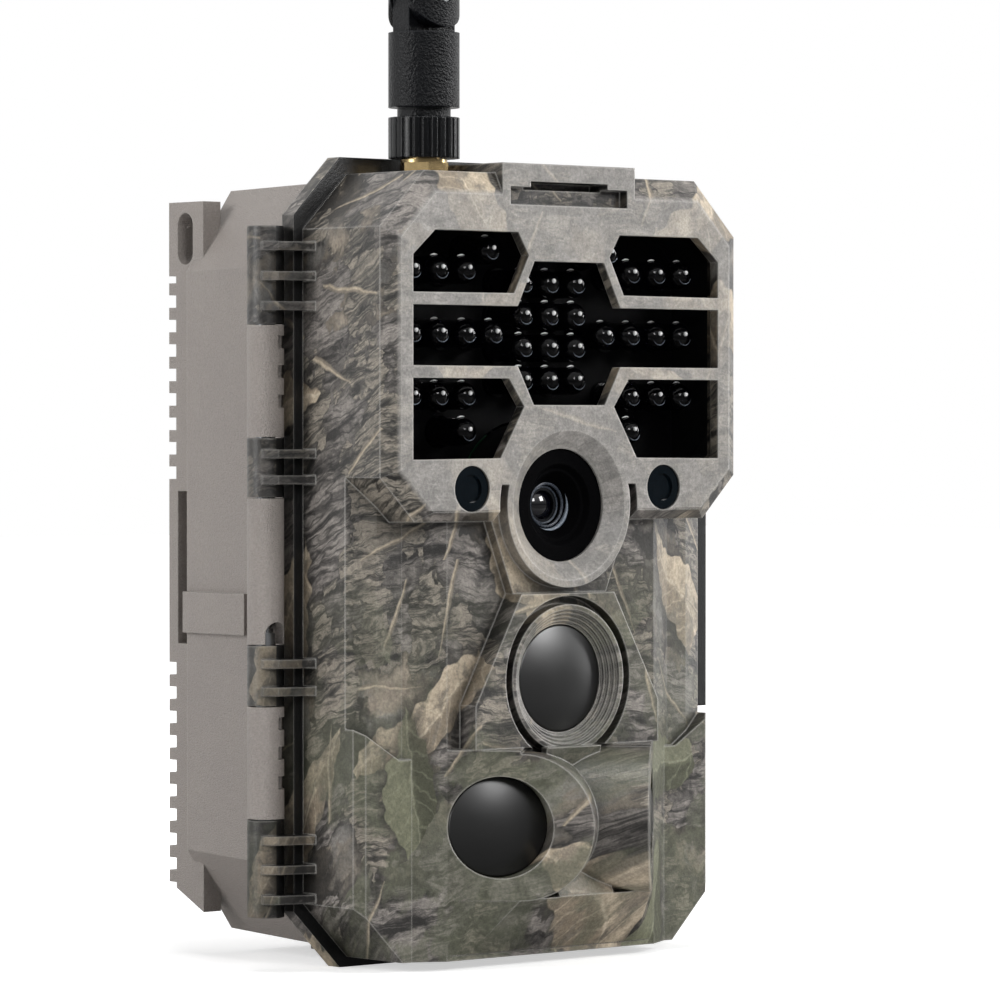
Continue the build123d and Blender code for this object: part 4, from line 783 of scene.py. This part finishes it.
# Painted highlight: a short white streak for the glint on a lead's end
lead_glint = hoops([2.75], [tip + 2.6], [0.16], around=12, section=6, arc=0.22 * np.pi,
             start=0.42 * np.pi)
grid_mesh("lamp_lead_glints", lead_glint + lamp_places, painted_glint_white, "cover")

# %% [markdown]
# ## Films of the motion sensors
# A motion sensor looks out through a thin Fresnel film of polyethylene, pressed into a shallow
# dome. The CAD model has a plain disc there. A domed skin mirrors the studio as a soft
# gradient, which a flat disc can't do, so the dome stands in place of the disc.

# %% Domed films
def domed_film(name, node_name, centre, turn, radius, rise=1.3, thickness=0.9, pole=0.002):
    """A shallow dome of one radius and rise in mm, turned about z by turn. Its depth in front
    of its rim is rise (1 - (r / R) squared), and its back is flat, so that it is a closed lens.
    At the pole a hair of the radius stays open, so that no face there has lost its area."""
    out_to_rim = np.concatenate([[pole], np.linspace(2 * pole, 1, 23)])
    share = np.concatenate([out_to_rim, [1, pole]])[:, None]
    around = np.linspace(0, 2 * np.pi, 64, endpoint=False)[None, :]
    lift = np.concatenate([rise * (1 - out_to_rim ** 2), [-thickness] * 2])[:, None]
    flat_x = radius * share * np.cos(around)
    out = lift + 0 * around
    skin = np.stack([flat_x * np.cos(turn) + out * np.sin(turn),
                     flat_x * np.sin(turn) - out * np.cos(turn),
                     radius * share * np.sin(around)], axis=-1)
    return grid_mesh(name, (skin * MM + np.array(centre))[None], sensor_film, "cover", node_name)


low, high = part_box("centre_pir_lens")
centre_radius = (high.x - low.x) / 2 / MM
domed_film("centre_film", "centre_pir_lens", (0, low.y, (low.z + high.z) / 2), 0.0, centre_radius)
side_turn = radians(29.0)
half_thickness = 0.45 * MM
for side, tag in ((-1, "left"), (1, "right")):
    low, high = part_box(tag + "_pir_lens")
    # The dome starts half the disc's thickness in front of its middle, along its own axis
    front = np.array([np.sin(side * side_turn), -np.cos(side_turn), 0]) * half_thickness
    centre_of_disc = np.array((low + high) / 2) + front
    side_radius = (high.z - low.z) / 2 / MM
    domed_film(tag + "_film", tag + "_pir_lens", centre_of_disc, side * side_turn, side_radius)

# %% [markdown]
# ## Battery springs
# Each cell rests on a conical coil of nickel-plated wire, at its foot or its head in turn,
# because neighbouring cells lie head to foot. A circle is carried along a coil that narrows
# as it rises, and the wire tapers off at both ends.

# %% Coils
spring_low, spring_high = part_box("battery_springs")
spring_y = (spring_low.y + spring_high.y) / 2
spring_gap, wire = 1.3, 0.22
turns, wide_end, narrowing = 2.6, 3.4, 0.9
t = np.linspace(0, 1, 72)
angle = 2 * np.pi * turns * t
v = np.linspace(0, 2 * np.pi, 8, endpoint=False)
end_taper = 30
taper = wire * np.clip(np.minimum(t, 1 - t) * end_taper, 0.02, 1)
far = (wide_end - narrowing * t)[:, None] + taper[:, None] * np.cos(v)
rise = (spring_gap - 2 * wire) * t[:, None] + wire + taper[:, None] * np.sin(v)
coil = np.stack([far * np.cos(angle)[:, None], far * np.sin(angle)[:, None], rise], axis=-1)
# The grid is made a closed loop: it runs back along a hair-thin copy of itself
back = coil[::-1].mean(axis=1, keepdims=True) + 0 * coil
coil = np.concatenate([coil, back], axis=0) * MM

cell_pitch, cell_length = 14.7, 50.0
row_floors, row_margin, seat = (15.0, 74.0), 1.6, 0.3
columns = (np.arange(4) - 1.5) * cell_pitch * MM
places = [(x, spring_y, (row - row_margin + seat if i % 2 else row + cell_length) * MM)
          for row in row_floors for i, x in enumerate(columns)]
grid_mesh("battery_coils", coil[None] + np.array(places)[:, None, None, :], nickel, "root",
          "battery_springs")

# %% [markdown]
# ## Marks on the keys
# The four outer keys carry printed pointers and the middle one a ring, the plain signs of any
# keypad. They could be painted in a material, but as thin pieces they keep sharp edges and
# ride on their keys. A pointer is a three-cornered plate that stands a hair proud of its key.

# %% Pointers and ring
# Pad-printed ink: dark and dull
mark_ink = moulded("mark_ink", "#33322f", "#3a3936", "#55534f", 0.5)
mark_reach, mark_spread = 1.7, 2.2
# Four rows of the plate's skin: how far out of the key each lies, and its share of the width
mark_level = np.array([0.02, 0.02, -0.03, -0.03])[:, None, None]
mark_size = np.array([0.02, 1.0, 1.0, 0.02])[:, None, None]
for name, turn in (("key_up", 0), ("key_left", 1), ("key_down", 2), ("key_right", 3)):
    low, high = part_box(name)
    corner = np.pi / 2 * (turn + 1) + np.array([0, mark_spread, -mark_spread])
    outer = np.stack([np.cos(corner), 0 * corner, np.sin(corner)], axis=-1) * mark_reach
    mark = (outer[None] * mark_size + mark_level * np.array([0, 1, 0])) * MM
    key_face = np.array([(low.x + high.x) / 2, high.y, (low.z + high.z) / 2])
    grid_mesh(name + "_mark", (mark + key_face)[None], mark_ink, name)
low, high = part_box("key_ok")
ring = hoops([1.6], [0.0], [0.12], around=32, section=6)
ring_place = np.array([(low.x + high.x) / 2, high.y, (low.z + high.z) / 2])
grid_mesh("key_ok_mark", ring + ring_place, mark_ink, "key_ok")
